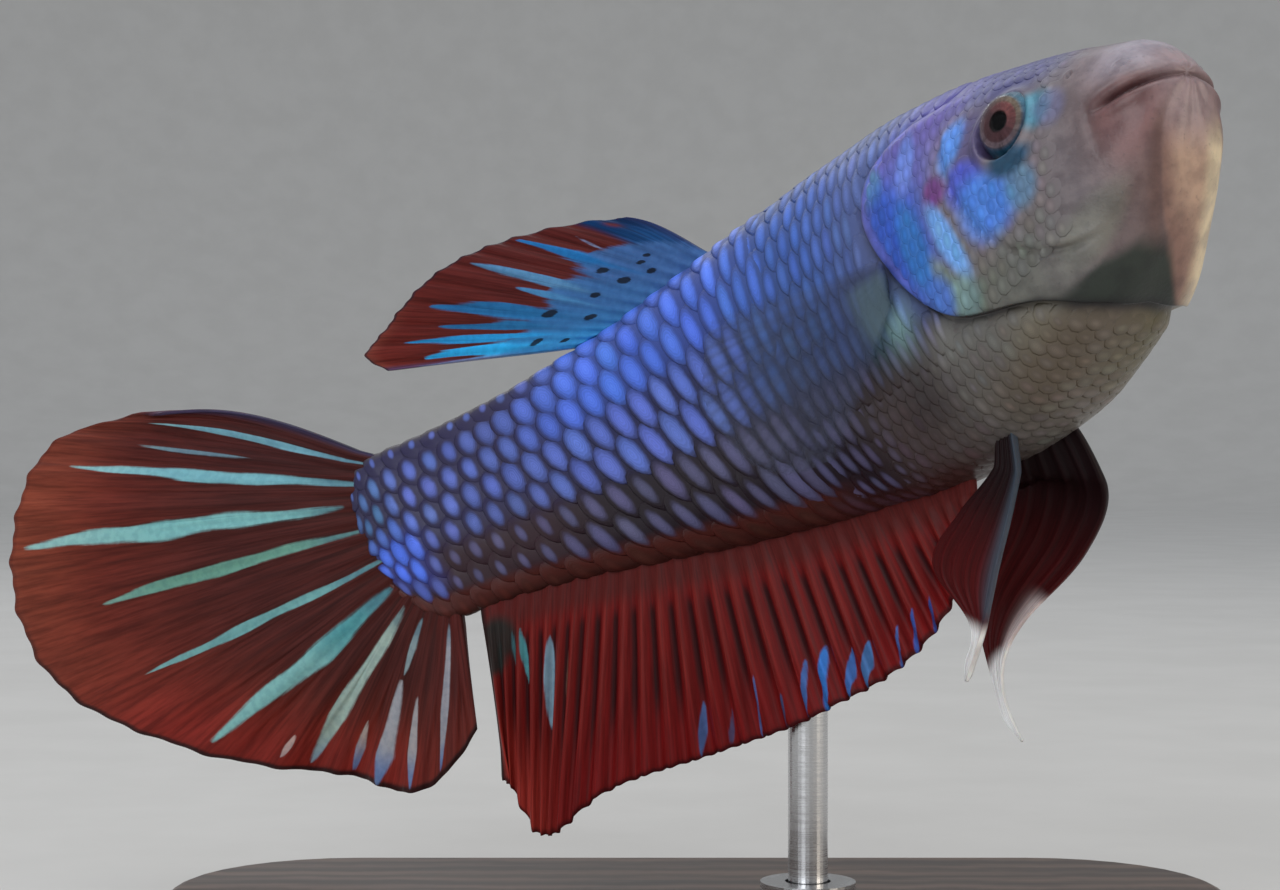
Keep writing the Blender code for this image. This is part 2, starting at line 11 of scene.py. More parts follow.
import bmesh
import bpy
import numpy as np
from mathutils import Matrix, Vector


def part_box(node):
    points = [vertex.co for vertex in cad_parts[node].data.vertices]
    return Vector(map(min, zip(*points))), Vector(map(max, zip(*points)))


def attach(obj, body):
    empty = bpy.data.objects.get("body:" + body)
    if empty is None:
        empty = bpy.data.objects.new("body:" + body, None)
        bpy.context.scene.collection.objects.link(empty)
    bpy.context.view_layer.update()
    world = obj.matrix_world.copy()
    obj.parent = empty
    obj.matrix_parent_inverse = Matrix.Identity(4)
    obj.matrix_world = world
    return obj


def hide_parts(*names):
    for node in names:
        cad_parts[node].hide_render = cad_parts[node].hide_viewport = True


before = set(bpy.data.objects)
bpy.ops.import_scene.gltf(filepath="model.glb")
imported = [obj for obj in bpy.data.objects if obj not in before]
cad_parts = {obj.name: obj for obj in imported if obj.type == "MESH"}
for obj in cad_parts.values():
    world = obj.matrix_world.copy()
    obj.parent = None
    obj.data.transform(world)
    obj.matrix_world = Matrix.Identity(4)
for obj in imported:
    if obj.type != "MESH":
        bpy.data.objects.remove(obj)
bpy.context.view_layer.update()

MM = 0.001

# ---- the fish's build, as in the solids ----------------------------------------------------------
STANDARD_LENGTH = 53.0
TURN_STATIONS = [0.0, 0.2, 0.4, 0.7, 1.0]
HEADING_DEG = [61.0, 59.0, 47.0, 34.0, 19.5]
CLIMB_DEG = [26.0, 24.0, 25.0, 19.5, 22.0]
HELD_STATION = 0.45
HELD_AT = np.array([8.0, -1.0, 32.8])
TAIL_SLANT = 0.20
STATIONS = [0.0, 0.03, 0.07, 0.12, 0.20, 0.30, 0.40, 0.50, 0.60, 0.75, 0.90, 1.0]
BACK = [1.5, 2.8, 4.0, 5.2, 6.8, 8.1, 8.55, 8.4, 7.85, 6.5, 5.55, 5.5]
BELLY = [0.3, -2.0, -4.4, -6.3, -8.1, -9.3, -9.1, -8.1, -7.25, -6.05, -5.1, -4.8]
HALF_WIDTH = [1.4, 2.3, 3.3, 4.3, 5.2, 5.5, 5.1, 4.5, 3.8, 2.6, 1.65, 1.15]
LOWER_STATIONS = [0.0, 0.07, 0.15, 0.25, 0.35, 0.50, 1.0]
LOWER_FULLNESS = [0.92, 0.78, 0.72, 0.64, 0.80, 0.92, 0.92]
UPPER_FULLNESS = 0.92
TAIL_LOBE, TAIL_LOBE_END = 0.065, 0.35
FIN_CLEARANCE = 0.4
SPINE_POINTS = 401

# ---- the skin ------------------------------------------------------------------------------------
COAT_DEPTH = 0.22                  # how far the skin lies inside the solids
SNOUT_START, SNOUT_ROUND = 0.020, 0.034
LOBE_SHARE = 0.985                 # where the skin closes, as a share of the tail's lobe
LOBE_END = 1.0 + LOBE_SHARE * TAIL_LOBE
SNOUT_INSET, LOBE_INSET = 0.002, 0.003    # slopes are not taken nearer to the ends than this
MOUTH_TIP, MOUTH_CORNER, MOUTH_END = 0.7, 0.25, 0.072
EYE_STATION, EYE_HEIGHT = 0.157, 2.05
EYE_OPENING, SOCKET_DEPTH = 1.40, 1.7
# Each opening of a nostril: its station, its degrees down and its radius.
NOSTRIL_TUBE, NOSTRIL_SLIT = (0.045, 58.0, 0.20), (0.092, 50.0, 0.17)
GILL_DOWN = [0.0, 35.0, 43.0, 55.0, 68.0, 85.0, 100.0, 112.0, 129.0, 155.0, 180.0]
GILL_EDGE = [0.235, 0.235, 0.275, 0.318, 0.334, 0.322, 0.295, 0.263, 0.193, 0.150, 0.138]
GILL_PEAK, GILL_WARP_START, GILL_WARP_END = 0.334, 0.05, 0.55
CHEEK_DOWN = [40.0, 55.0, 72.0, 92.0, 110.0, 125.0, 140.0]
CHEEK_GROOVE = [0.236, 0.232, 0.226, 0.208, 0.178, 0.142, 0.105]
PECTORAL_LOBE = (0.352, -1.5)      # its station and height

# ---- the scales ----------------------------------------------------------------------------------
BODY_ROWS, NAPE_ROWS, BREAST_ROWS, FACE_ROWS = 16, 26, 52, 60
PITCH_STATIONS = [0.20, 0.33, 0.42, 0.50, 0.58, 0.65, 0.75, 0.85, 0.95, 1.00, 1.05]
BODY_PITCH = [0.85, 0.85, 0.85, 1.00, 1.40, 1.60, 1.72, 1.50, 1.40, 1.10, 0.78]
LEAN_STATIONS = [0.20, 0.25, 0.45, 0.52, 0.60, 0.80, 0.95, 1.07]
BODY_LEAN = [0.0, 0.05, 0.08, 0.20, 0.39, 0.41, 0.0, 0.0]    # mm forward for each mm down the side
NAPE_STATIONS, NAPE_PITCH = [0.20, 0.38, 0.52], [0.66, 0.80, 1.10]
BREAST_PITCH, FACE_PITCH = 0.76, 0.60
NAPE_REAR = 0.515
BREAST_TOP, BREAST_REAR = 118.0, 0.435
BODY_LIFT, NAPE_LIFT, FINE_LIFT = 0.15, 0.08, 0.032    # how far a plate tilts out, in mm
PLATE_FRONT, PLATE_BACK, PLATE_SIDE = 0.95, 0.66, 0.74    # a plate's reach from its root
PLATE_CROWN, PLATE_RIM = 0.06, -0.10    # the heights of its middle and its edge
PLATE_JITTER = 0.04


# ==== helpers =====================================================================================
def srgb(red, green, blue):
    """A colour given as 0 to 255 on screen, as linear light."""
    share = np.array([red, green, blue]) / 255.0
    return np.where(share <= 0.04045, share / 12.92, ((share + 0.055) / 1.055) ** 2.4)


def smooth_through(x, xs, ys):
    """A cubic through the points (xs, ys), with each slope taken from its neighbours."""
    xs = np.asarray(xs, float)
    ys = np.asarray(ys, float)
    slopes = np.gradient(ys, xs)
    x = np.clip(np.asarray(x, float), xs[0], xs[-1])
    i = np.clip(np.searchsorted(xs, x, side="right") - 1, 0, len(xs) - 2)
    h = xs[i + 1] - xs[i]
    s = (x - xs[i]) / h
    return (
        (2 * s**3 - 3 * s**2 + 1) * ys[i]
        + (s**3 - 2 * s**2 + s) * h * slopes[i]
        + (3 * s**2 - 2 * s**3) * ys[i + 1]
        + (s**3 - s**2) * h * slopes[i + 1]
    )


def smooth_step(x, low, high):
    """0 below low, 1 above high and an S-shaped rise between."""
    s = np.clip((np.asarray(x, float) - low) / (high - low), 0.0, 1.0)
    return s * s * (3 - 2 * s)


def fade(x, low, high):
    """1 below low, 0 above high and an S-shaped fall between."""
    return 1.0 - smooth_step(x, low, high)


def bell(distance, width):
    """1 on a line, falling away on both sides over the width."""
    return np.exp(-((distance / width) ** 2))


def blend(first, second, share):
    """Colours on the way from first to second, by a share for each point."""
    share = np.asarray(share, float)[..., None]
    return first * (1.0 - share) + second * share


def painted(colour, *coats):
    """A colour with coats laid over it in turn, each given as its own colour and its share."""
    for tint, share in coats:
        colour = blend(colour, tint, share)
    return colour


def sampled(table, x):
    """Rows of a table of vectors read at x, where x counts in table rows."""
    low = np.clip(np.floor(x).astype(int), 0, len(table) - 2)
    share = (x - low)[..., None]
    return table[low] * (1.0 - share) + table[low + 1] * share


def spine_table(count=SPINE_POINTS):
    """The spine's points and its forward, up and left directions, evenly spaced in t.

    The heading turns and the climb changes smoothly along it, and the points are the sum of the
    small steps backwards from the held station.
    """
    t = np.linspace(0.0, 1.0, count)
    turn = np.radians(smooth_through(t, TURN_STATIONS, HEADING_DEG))
    climb = np.radians(smooth_through(t, TURN_STATIONS, CLIMB_DEG))
    forward = np.stack(
        [np.cos(climb) * np.cos(turn), -np.cos(climb) * np.sin(turn), np.sin(climb)], axis=1
    )
    steps = (forward[1:] + forward[:-1]) / 2 * STANDARD_LENGTH / (count - 1)
    points = np.vstack([np.zeros(3), -np.cumsum(steps, axis=0)])
    points += HELD_AT - points[round(HELD_STATION * (count - 1))]
    left = np.cross([0.0, 0.0, 1.0], forward)
    left /= np.linalg.norm(left, axis=1, keepdims=True)
    return points, forward, np.cross(forward, left), left


SPINE = spine_table()


def place(t, u, w, ahead=0.0):
    """World points at station t, u above the spine, w to the left and ahead further forward."""
    t, u, w, ahead = np.broadcast_arrays(*[np.asarray(x, float) for x in (t, u, w, ahead)])
    x = np.clip(t, 0.0, 1.0) * (SPINE_POINTS - 1)
    points, forward, up, left = [sampled(table, x) for table in SPINE]
    beyond = (np.clip(t, None, 0.0) + np.clip(t - 1.0, 0.0, None)) * STANDARD_LENGTH
    ahead = ahead - beyond - TAIL_SLANT * u * smooth_step(t, 0.8, 1.0)
    return points + ahead[..., None] * forward + u[..., None] * up + w[..., None] * left


def body_size(t):
    """Height of the back, height of the belly and half the width of the solids at station t."""
    past = np.clip((np.asarray(t, float) - 1.0) / TAIL_LOBE, 0.0, LOBE_SHARE)
    rounding = np.sqrt(1.0 - past**2)
    back = smooth_through(t, STATIONS, BACK) * rounding
    belly = smooth_through(t, STATIONS, BELLY) * rounding
    width = smooth_through(t, STATIONS, HALF_WIDTH) * (1.0 - (1.0 - TAIL_LOBE_END) * past)
    return back, belly, width


def section(t, angle):
    """(u, w) of the bare skin at station t: angle 0 is the left side, 90 degrees the back.

    Each section is an oval with powers of its sine and cosine, squarer below, drawn in by the coat's
    depth, and closed to a point at the snout and at the end of the tail's lobe.
    """
    back, belly, width = body_size(t)
    snout = np.clip((SNOUT_START + SNOUT_ROUND - t) / SNOUT_ROUND, 0.0, 1.0)
    lobe = np.clip((t - 1.0) / (LOBE_END - 1.0), 0.0, 1.0)
    closing = np.sqrt(np.clip(1.0 - snout**2.4, 0.0, 1.0) * np.clip(1.0 - lobe**5, 0.0, 1.0))
    middle = (back + belly) / 2
    middle = middle + (MOUTH_TIP - middle) * (1.0 - closing) * (snout > 0)
    half = ((back - belly) / 2 - COAT_DEPTH) * closing
    width = np.maximum(width - COAT_DEPTH, 0.12) * closing
    side, rise = np.cos(angle), np.sin(angle)
    lower = np.interp(t, LOWER_STATIONS, LOWER_FULLNESS)
    across = np.where(rise < 0, lower, UPPER_FULLNESS)
    upward = np.where(rise < 0, 0.5 + 0.5 * lower / UPPER_FULLNESS, 1.0)
    return (
        middle + half * np.sign(rise) * np.abs(rise) ** upward,
        width * np.sign(side) * np.abs(side) ** across,
    )


def down_of(angle):
    """Degrees from the back, 0 to 180, the same on both sides."""
    return np.abs((np.degrees(angle) - 90.0 + 180.0) % 360.0 - 180.0)


ANGLE_STATIONS, ANGLE_STEPS = 260, 360


def angle_table():
    """For evenly spaced t and q, the section angle whose arc from the back is q of the perimeter."""
    t = np.linspace(SNOUT_START, LOBE_END, ANGLE_STATIONS)
    angle = np.radians(np.linspace(90.0, 450.0, 721))
    inner_t = np.clip(t, SNOUT_START + SNOUT_INSET, LOBE_END - SNOUT_INSET)
    u, w = section(inner_t[:, None], angle[None, :])
    steps = np.hypot(np.diff(u, axis=1), np.diff(w, axis=1))
    arc = np.hstack([np.zeros((len(t), 1)), np.cumsum(steps, axis=1)])
    share = np.linspace(0.0, 1.0, ANGLE_STEPS + 1)
    rows = [np.interp(share, way / way[-1], angle) for way in arc]
    return np.array(rows), arc[:, -1]


ANGLES, PERIMETERS = angle_table()


def angle_at(t, q):
    """The section angle at station t and share q of the way round, read between the table's entries."""
    x = np.clip((t - SNOUT_START) / (LOBE_END - SNOUT_START), 0.0, 1.0) * (ANGLE_STATIONS - 1)
    y = (q % 1.0) * ANGLE_STEPS
    i = np.clip(np.floor(x).astype(int), 0, ANGLE_STATIONS - 2)
    j = np.clip(np.floor(y).astype(int), 0, ANGLE_STEPS - 1)
    a, b = x - i, y - j
    near = ANGLES[i, j] * (1 - b) + ANGLES[i, j + 1] * b
    far = ANGLES[i + 1, j] * (1 - b) + ANGLES[i + 1, j + 1] * b
    return near * (1 - a) + far * a


def perimeter_at(t):
    """The length of the way round the bare skin at station t, in mm."""
    return np.interp(t, np.linspace(SNOUT_START, LOBE_END, ANGLE_STATIONS), PERIMETERS)


# ==== meshes ======================================================================================
def make_piece(name, points, faces, material, uv=None, colours=None, numbers=None, smooth=True):
    """A mesh object from points in millimetres and a list of face arrays, each with equal corners.

    uv holds one place for each corner, in the order of the faces. colours and numbers are named
    attributes with one value for each point.
    """
    mesh = bpy.data.meshes.new(name)
    corners = np.concatenate([f.ravel() for f in faces]).astype(np.int32)
    sizes = np.concatenate([np.full(len(f), f.shape[1]) for f in faces])
    starts = np.concatenate([[0], np.cumsum(sizes)[:-1]]).astype(np.int32)
    mesh.vertices.add(len(points))
    mesh.vertices.foreach_set("co", (np.asarray(points) * MM).astype(np.float32).ravel())
    mesh.loops.add(len(corners))
    mesh.loops.foreach_set("vertex_index", corners)
    mesh.polygons.add(len(starts))
    mesh.polygons.foreach_set("loop_start", starts)
    mesh.update(calc_edges=True)
    mesh.polygons.foreach_set("use_smooth", np.full(len(starts), smooth))
    if uv is not None:
        mesh.uv_layers.new(name="OFBake").data.foreach_set("uv", uv.astype(np.float32).ravel())
    for label, values in (colours or {}).items():
        data = np.ones((len(points), 4), np.float32)
        data[:, :3] = values
        mesh.attributes.new(label, "FLOAT_COLOR", "POINT").data.foreach_set("color", data.ravel())
    for label, values in (numbers or {}).items():
        values = np.asarray(values, np.float32)
        if values.ndim == 1:
            mesh.attributes.new(label, "FLOAT", "POINT").data.foreach_set("value", values)
        else:
            layer = mesh.attributes.new(label, "FLOAT_VECTOR", "POINT")
            layer.data.foreach_set("vector", values.ravel())
    outward(mesh)
    mesh.materials.append(material)
    piece = bpy.data.objects.new(name, mesh)
    bpy.context.scene.collection.objects.link(piece)
    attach(piece, "root")
    return piece


def outward(mesh):
    """Turns every face of a closed mesh outwards."""
    shape = bmesh.new()
    shape.from_mesh(mesh)
    bmesh.ops.recalc_face_normals(shape, faces=shape.faces)
    shape.to_mesh(mesh)
    shape.free()


def grid_quads(rows, columns, closed=False):
    """Corner indices of the quads of a grid, and each corner's row and column."""
    i, j = np.meshgrid(np.arange(rows - 1), np.arange(columns - (not closed)), indexing="ij")
    row = np.stack([i, i + 1, i + 1, i], axis=-1).reshape(-1, 4)
    column = np.stack([j, j, j + 1, j + 1], axis=-1).reshape(-1, 4)
    return row * columns + column % columns, row, column


# ==== the shape of the skin =======================================================================
def gill_edge(down):
    """The station of the gill cover's free edge."""
    return smooth_through(down, GILL_DOWN, GILL_EDGE)


def behind_gill(t, down):
    """How many mm a place lies behind the gill cover's edge, negative in front of it."""
    return (t - gill_edge(down)) * STANDARD_LENGTH


def mouth_line(t):
    """The height of the line between the lips, which falls from the snout to the mouth's corner."""
    return MOUTH_TIP + (MOUTH_CORNER - MOUTH_TIP) * np.clip(t, 0.0, MOUTH_END) / MOUTH_END


def snout_share(t):
    """How strong the mouth is: a little weaker at the very front of the snout."""
    return 0.60 + 0.40 * smooth_step(t, SNOUT_START, SNOUT_START + 0.020)


def mouth_relief(t, u):
    """A cleft along the mouth's line between two full lips, with a crease behind its corner.

    A faint line below it marks the lower jaw's edge.
    """
    above = u - mouth_line(t)
    near = fade(t, MOUTH_END - 0.012, MOUTH_END + 0.008) * snout_share(t)
    lips = 0.13 * bell(above - 0.40, 0.26) + 0.15 * bell(above + 0.44, 0.30)
    cleft = -0.34 * bell(above, 0.13)
    corner = bell((t - MOUTH_END - 0.006) * STANDARD_LENGTH, 0.20) * bell(above + 0.6, 0.9)
    jaw = bell(u + 1.5 + 30.0 * t, 0.30) * fade(t, 0.075, 0.105)
    return near * (lips + cleft) - 0.10 * corner - 0.06 * jaw


def from_eye(t, u):
    """The distance from the eye's middle along the head's side."""
    return np.hypot((t - EYE_STATION) * STANDARD_LENGTH, u - EYE_HEIGHT)


def eye_relief(t, u):
    """The socket: the skin dives under the eyeball, inside a low rim with a faint furrow round it."""
    away = from_eye(t, u)
    dive = -SOCKET_DEPTH * fade(away, EYE_OPENING - 0.20, EYE_OPENING + 0.04)
    rim = 0.10 * bell(away - EYE_OPENING - 0.16, 0.17)
    furrow = -0.05 * bell(away - EYE_OPENING - 0.58, 0.22)
    return dive + rim + furrow


def nostril_relief(t, down):
    """Two openings a side: a short raised tube near the lip, and a slit before the eye."""
    def spot(station, centre, size):
        """The distance from an opening's middle, as a share of its radius."""
        local = 0.5 * (body_size(station)[2] + 2.5)
        return np.hypot((t - station) * STANDARD_LENGTH, np.radians(down - centre) * local) / size

    tube, slit = spot(*NOSTRIL_TUBE), spot(*NOSTRIL_SLIT)
    return (
        0.16 * bell(tube - 1.0, 0.55) - 0.26 * bell(tube, 0.62)
        + 0.05 * bell(slit - 1.1, 0.45) - 0.22 * bell(slit, 0.70)
    )


def gill_relief(t, down):
    """The gill cover: it rises to its free edge, drops sharply there, and a furrow lies behind.

    A groove runs from behind the eye down and forward round the cheek.
    """
    behind = behind_gill(t, down)
    flap = smooth_step(down, 33.0, 50.0)
    rise = smooth_step(behind, -4.2, -0.45) * fade(behind, -0.10, 0.10)
    furrow = smooth_step(behind, -0.02, 0.14) * fade(behind, 0.25, 1.3)
    cheek = (t - smooth_through(down, CHEEK_DOWN, CHEEK_GROOVE)) * STANDARD_LENGTH
    cheek_share = smooth_step(down, 46.0, 60.0) * fade(down, 126.0, 140.0)
    cheek_fold = -0.16 * bell(cheek, 0.26) + 0.09 * bell(cheek + 0.55, 0.40)
    return flap * (0.36 * rise - 0.20 * furrow) + cheek_share * cheek_fold


def pectoral_root_relief(t, u):
    """The fleshy base of the pectoral fin, taller than it is long."""
    station, height = PECTORAL_LOBE
    return 0.42 * bell(np.hypot((t - station) * STANDARD_LENGTH, (u - height) / 1.9), 1.0)


def relief(t, angle):
    """How far the skin stands out from its plain section, with a faint unevenness everywhere."""
    down = down_of(angle)
    u = section(t, angle)[0]
    soft = 0.035 * np.sin(41.0 * t + 0.05 * down) * np.sin(0.11 * down + 17.0 * t)
    throat = -0.10 * bell(down - 180.0, 7.0) * bell((t - 0.09) * STANDARD_LENGTH, 2.6)
    return (
        mouth_relief(t, u) + eye_relief(t, u) + nostril_relief(t, down)
        + gill_relief(t, down) + pectoral_root_relief(t, u) + soft + throat
    )


def skin_point(t, angle, lift=0.0):
    """World points on the skin, or above it by lift: the plain section, moved out by the relief.

    The way out is the cross product of the surface's two slopes, by small differences.
    """
    step_t, step_angle = 0.0008, 0.01    # a share of the length, and radians
    inner = np.clip(t, SNOUT_START + SNOUT_INSET, LOBE_END - LOBE_INSET)
    start = place(inner, *section(inner, angle))
    along = place(inner + step_t, *section(inner + step_t, angle)) - start
    around = place(inner, *section(inner, angle + step_angle)) - start
    out = np.cross(along, around)
    out /= np.linalg.norm(out, axis=-1, keepdims=True)
    stand = relief(t, angle) + lift
    return place(t, *section(t, angle)) + out * np.asarray(stand)[..., None]


def follow_gill(s, down):
    """Stations for the skin's rings: the ring at the gill's rearmost point bends along its edge."""
    edge = gill_edge(down)
    before = GILL_WARP_START + (s - GILL_WARP_START) * (edge - GILL_WARP_START) / (
        GILL_PEAK - GILL_WARP_START
    )
    after = edge + (s - GILL_PEAK) * (GILL_WARP_END - edge) / (GILL_WARP_END - GILL_PEAK)
    warped = np.where(s < GILL_PEAK, before, after)
    return np.where((s > GILL_WARP_START) & (s < GILL_WARP_END), warped, s)


# ==== markings ====================================================================================
# Each flank colour is for the gaps between the scales, or for the scales themselves.
SIDE_GAP, BACK_GAP, LOW_GAP = srgb(42, 44, 82), srgb(56, 76, 148), srgb(36, 27, 36)
SIDE_BLUE, BACK_BLUE, LOW_VIOLET = srgb(106, 128, 222), srgb(92, 130, 244), srgb(94, 92, 128)
STOCK_GAP, STOCK_LOW_GAP = srgb(48, 44, 78), srgb(54, 33, 42)
STOCK_BLUE, STOCK_LOW_VIOLET = srgb(90, 106, 180), srgb(90, 86, 124)
NAPE_GAP, NECK_GAP = srgb(56, 82, 146), srgb(78, 92, 142)
NAPE_BLUE, NECK_BLUE = srgb(78, 116, 206), srgb(100, 118, 178)
VEIL_GAP, VEIL_LOW_GAP = srgb(60, 74, 108), srgb(54, 52, 70)
VEIL_BLUE, VEIL_LOW_GREY = srgb(72, 98, 148), srgb(64, 66, 92)
TAIL_TEAL = srgb(70, 120, 150)
CLUSTER_GAP, CLUSTER_BLUE = srgb(50, 60, 138), srgb(82, 118, 236)
TOP_GAP, TOP_GREY = srgb(76, 70, 72), srgb(84, 80, 92)
LAST_ROW_GAP, LAST_ROW_RUST = srgb(86, 37, 31), srgb(90, 42, 36)
BREAST_GREY, BREAST_BROWN = srgb(108, 104, 99), srgb(80, 68, 67)
BREAST_OLIVE, BREAST_WARM_LIGHT = srgb(104, 93, 80), srgb(100, 92, 68)
SMOKE_GAP, SMOKE_BROWN = srgb(52, 44, 46), srgb(58, 50, 52)
BELLY_GAP, BELLY_RUST = srgb(62, 36, 32), srgb(76, 45, 41)
# A painted rim light on the gill cover's edge, a painted shadow behind it, and a dark throat line.
GILL_RIM_LIGHT, GILL_SHADOW, THROAT_LINE = srgb(108, 118, 216), srgb(30, 26, 34), srgb(14, 14, 15)
# The face, from the cheek to the chin.
CHEEK_MAUVE, FRONT_ROSE, CROWN_VIOLET = srgb(116, 107, 110), srgb(118, 94, 92), srgb(80, 80, 128)
SNOUT_GREY, JOWL_OLIVE, THROAT_DARK = srgb(152, 144, 154), srgb(100, 100, 94), srgb(38, 45, 39)
# On the chin: painted shade at the border, peach painted warm light over pale skin, cream its painted
# highlight, and brown a painted shadow along the jaw's edge.
CHIN_SHADE, CHIN_WARM_LIGHT, CHIN_HIGHLIGHT = srgb(128, 98, 88), srgb(174, 144, 124), srgb(214, 196, 164)
# The last colour is the lips' reddish colour, which also stands as painted shade in the mouth's cleft.
CHIN_EDGE_SHADOW, CHIN_LIP, LIP_GREY, LIP_RED_AND_SHADE = (
    srgb(92, 64, 56), srgb(134, 112, 112), srgb(142, 122, 124), srgb(66, 34, 36)
)
PLAIN_GLINT = 0.05

# Each patch on the head: station, degrees down, half length and half height in mm, how many degrees
# its lower end tilts forward, its colour, the colour's strength, and how much it glints.
HEAD_PATCHES = [
    (0.235, 20.0, 5.0, 3.2, 0.0, srgb(90, 87, 152), 0.85, 0.15),
    (0.275, 44.0, 3.4, 2.6, 0.0, srgb(108, 98, 176), 0.75, 0.30),
    (0.150, 30.0, 2.4, 2.0, 0.0, srgb(72, 72, 120), 0.80, 0.10),
    (0.345, 50.0, 2.2, 4.2, 0.0, srgb(98, 100, 156), 0.70, 0.20),
    (0.283, 66.0, 2.5, 2.0, 0.0, srgb(98, 100, 178), 0.85, 0.25),
    (0.286, 88.0, 2.1, 3.4, 12.0, srgb(66, 102, 196), 0.90, 0.35),
    (0.192, 67.0, 1.0, 2.1, 0.0, srgb(74, 66, 126), 0.65, 0.20),
    (0.215, 62.0, 0.75, 1.35, -28.0, srgb(94, 150, 236), 0.95, 0.55),
    (0.205, 80.0, 1.2, 1.0, 0.0, srgb(76, 92, 206), 0.85, 0.45),
    (0.186, 91.0, 1.7, 1.25, -12.0, srgb(82, 136, 228), 0.95, 0.55),
    (0.148, 93.0, 0.9, 0.8, 0.0, srgb(92, 146, 186), 0.60, 0.40),
    (0.240, 76.0, 0.75, 0.72, 0.0, srgb(112, 64, 128), 0.95, 0.20),
    (0.272, 59.0, 0.55, 1.5, -14.0, srgb(116, 142, 224), 0.85, 0.45),
    (0.312, 62.0, 0.60, 0.95, 0.0, srgb(88, 146, 184), 0.75, 0.40),
    (0.303, 82.0, 1.15, 2.5, 6.0, srgb(54, 92, 196), 0.80, 0.45),
    (0.276, 88.0, 0.80, 1.9, 12.0, srgb(54, 120, 194), 0.80, 0.45),
    (0.250, 104.0, 0.52, 1.3, 24.0, srgb(122, 136, 112), 0.80, 0.25),
    (0.237, 93.0, 0.56, 1.75, 24.0, srgb(126, 182, 255), 1.00, 0.55),
    (0.236, 112.0, 0.9, 1.1, 20.0, srgb(118, 150, 150), 0.70, 0.35),
    (0.262, 107.0, 0.9, 1.0, 0.0, srgb(78, 120, 204), 0.85, 0.40),
    (0.122, 63.0, 0.85, 0.95, 0.0, srgb(76, 140, 162), 0.90, 0.40),
    (0.108, 66.0, 0.8, 0.9, 0.0, srgb(112, 116, 160), 0.55, 0.25),
    (0.152, 82.0, 1.25, 0.62, 0.0, srgb(34, 76, 104), 0.95, 0.30),
    (0.064, 86.0, 0.9, 1.0, 0.0, srgb(92, 66, 68), 0.70, 0.00),
    (0.046, 102.0, 1.6, 1.5, 0.0, srgb(122, 84, 84), 0.65, 0.0),
    (0.088, 150.0, 2.0, 1.6, 0.0, srgb(96, 76, 71), 0.50, 0.0),
    (0.110, 132.0, 2.0, 1.2, 0.0, srgb(112, 114, 100), 0.55, 0.05),
]
# Each patch behind the gill cover: station, degrees down, half length in mm, colour and strength.
BODY_PATCHES = [
    (0.334, 104.0, 1.10, srgb(128, 164, 164), 0.85),
    (0.368, 103.0, 1.00, srgb(76, 122, 128), 0.60),
    (0.283, 117.0, 1.20, srgb(126, 126, 122), 0.60),
    (0.245, 122.0, 1.10, srgb(110, 110, 106), 0.50),
    (0.196, 140.0, 1.50, srgb(122, 114, 94), 0.55),
]
BODY_PATCH_SPREAD = 7.0            # degrees round the body for each mm of half length
# Where the chin's painted warm light begins, as degrees round from the back, and where the dark throat
# begins.
CHIN_STATIONS = [0.0, 0.033, 0.040, 0.052, 0.068, 0.090, 0.118, 0.142]
CHIN_BORDER = [126.0, 136.0, 142.0, 153.0, 164.0, 177.0, 184.0, 192.0]
THROAT_DOWN = [138.0, 143.0, 148.0, 161.0, 170.0, 180.0]
THROAT_FRONT = [0.158, 0.138, 0.115, 0.092, 0.088, 0.0875]


def patch_share(t, down, patch):
    """1 inside a tilted oval on the skin, fading to 0 over its soft border."""
    station, centre, length, height, tilt = patch[:5]
    back, belly, width = body_size(station)
    around = np.radians(down - centre) * ((back - belly) / 2 + width) / 2
    along = (t - station) * STANDARD_LENGTH
    turn = math.radians(tilt)
    across = (along * math.cos(turn) + around * math.sin(turn)) / length
    upright = (around * math.cos(turn) - along * math.sin(turn)) / height
    return fade(np.hypot(across, upright), 0.55, 1.30)


def face_colour(t, down, turn):
    """The head's bare colours: violet crown, pale snout, mauve cheek, peach chin and dark throat.

    The peach chin is painted warm light over pale skin, with painted shade along its border, a painted
    highlight where it is palest and a painted shadow just outside. It begins at a sharp border a little
    to the right of the belly's middle, and runs round to the left.
    """
    face = painted(
        CHEEK_MAUVE,
        (FRONT_ROSE, fade(t, 0.05, 0.11)),
        (CROWN_VIOLET, fade(down, 30.0, 62.0) * smooth_step(t, 0.07, 0.16)),
        (SNOUT_GREY, fade(down, 50.0, 84.0) * fade(t, 0.045, 0.095)),
        (JOWL_OLIVE, smooth_step(down, 96.0, 116.0) * smooth_step(t, 0.10, 0.18)),
    )
    glint = np.full(face.shape[:-1], PLAIN_GLINT)
    for patch in HEAD_PATCHES:
        tint, strength, shine = patch[5:]
        share = strength * patch_share(t, down, patch)
        face = blend(face, tint, share)
        glint = glint * (1.0 - share) + shine * share
    behind_throat = (t - np.interp(down, THROAT_DOWN, THROAT_FRONT)) * STANDARD_LENGTH
    throat = smooth_step(behind_throat, -0.45, 0.75) * smooth_step(down, 136.0, 148.0)
    past = turn - np.interp(t, CHIN_STATIONS, CHIN_BORDER)
    # The peach is painted warm light over pale skin: painted shade at its border, a painted highlight at
    # its palest.
    peach = painted(
        CHIN_SHADE,
        (CHIN_WARM_LIGHT, smooth_step(past, 2.0, 28.0)),
        (CHIN_HIGHLIGHT, smooth_step(turn, 190.0, 207.0)),
        (CHIN_LIP, fade(t, 0.028, 0.048)),
    )
    face = painted(
        face,
        (THROAT_DARK, 0.98 * throat),
        (CHIN_EDGE_SHADOW, 0.55 * bell(past + 5.0, 9.0) * fade(t, 0.085, 0.105)),
        (peach, smooth_step(past, -1.5, 3.5) * fade(turn, 222.0, 246.0)),
        (LIP_GREY, 0.85 * fade(t, 0.022, 0.040)),
    )
    return face, glint


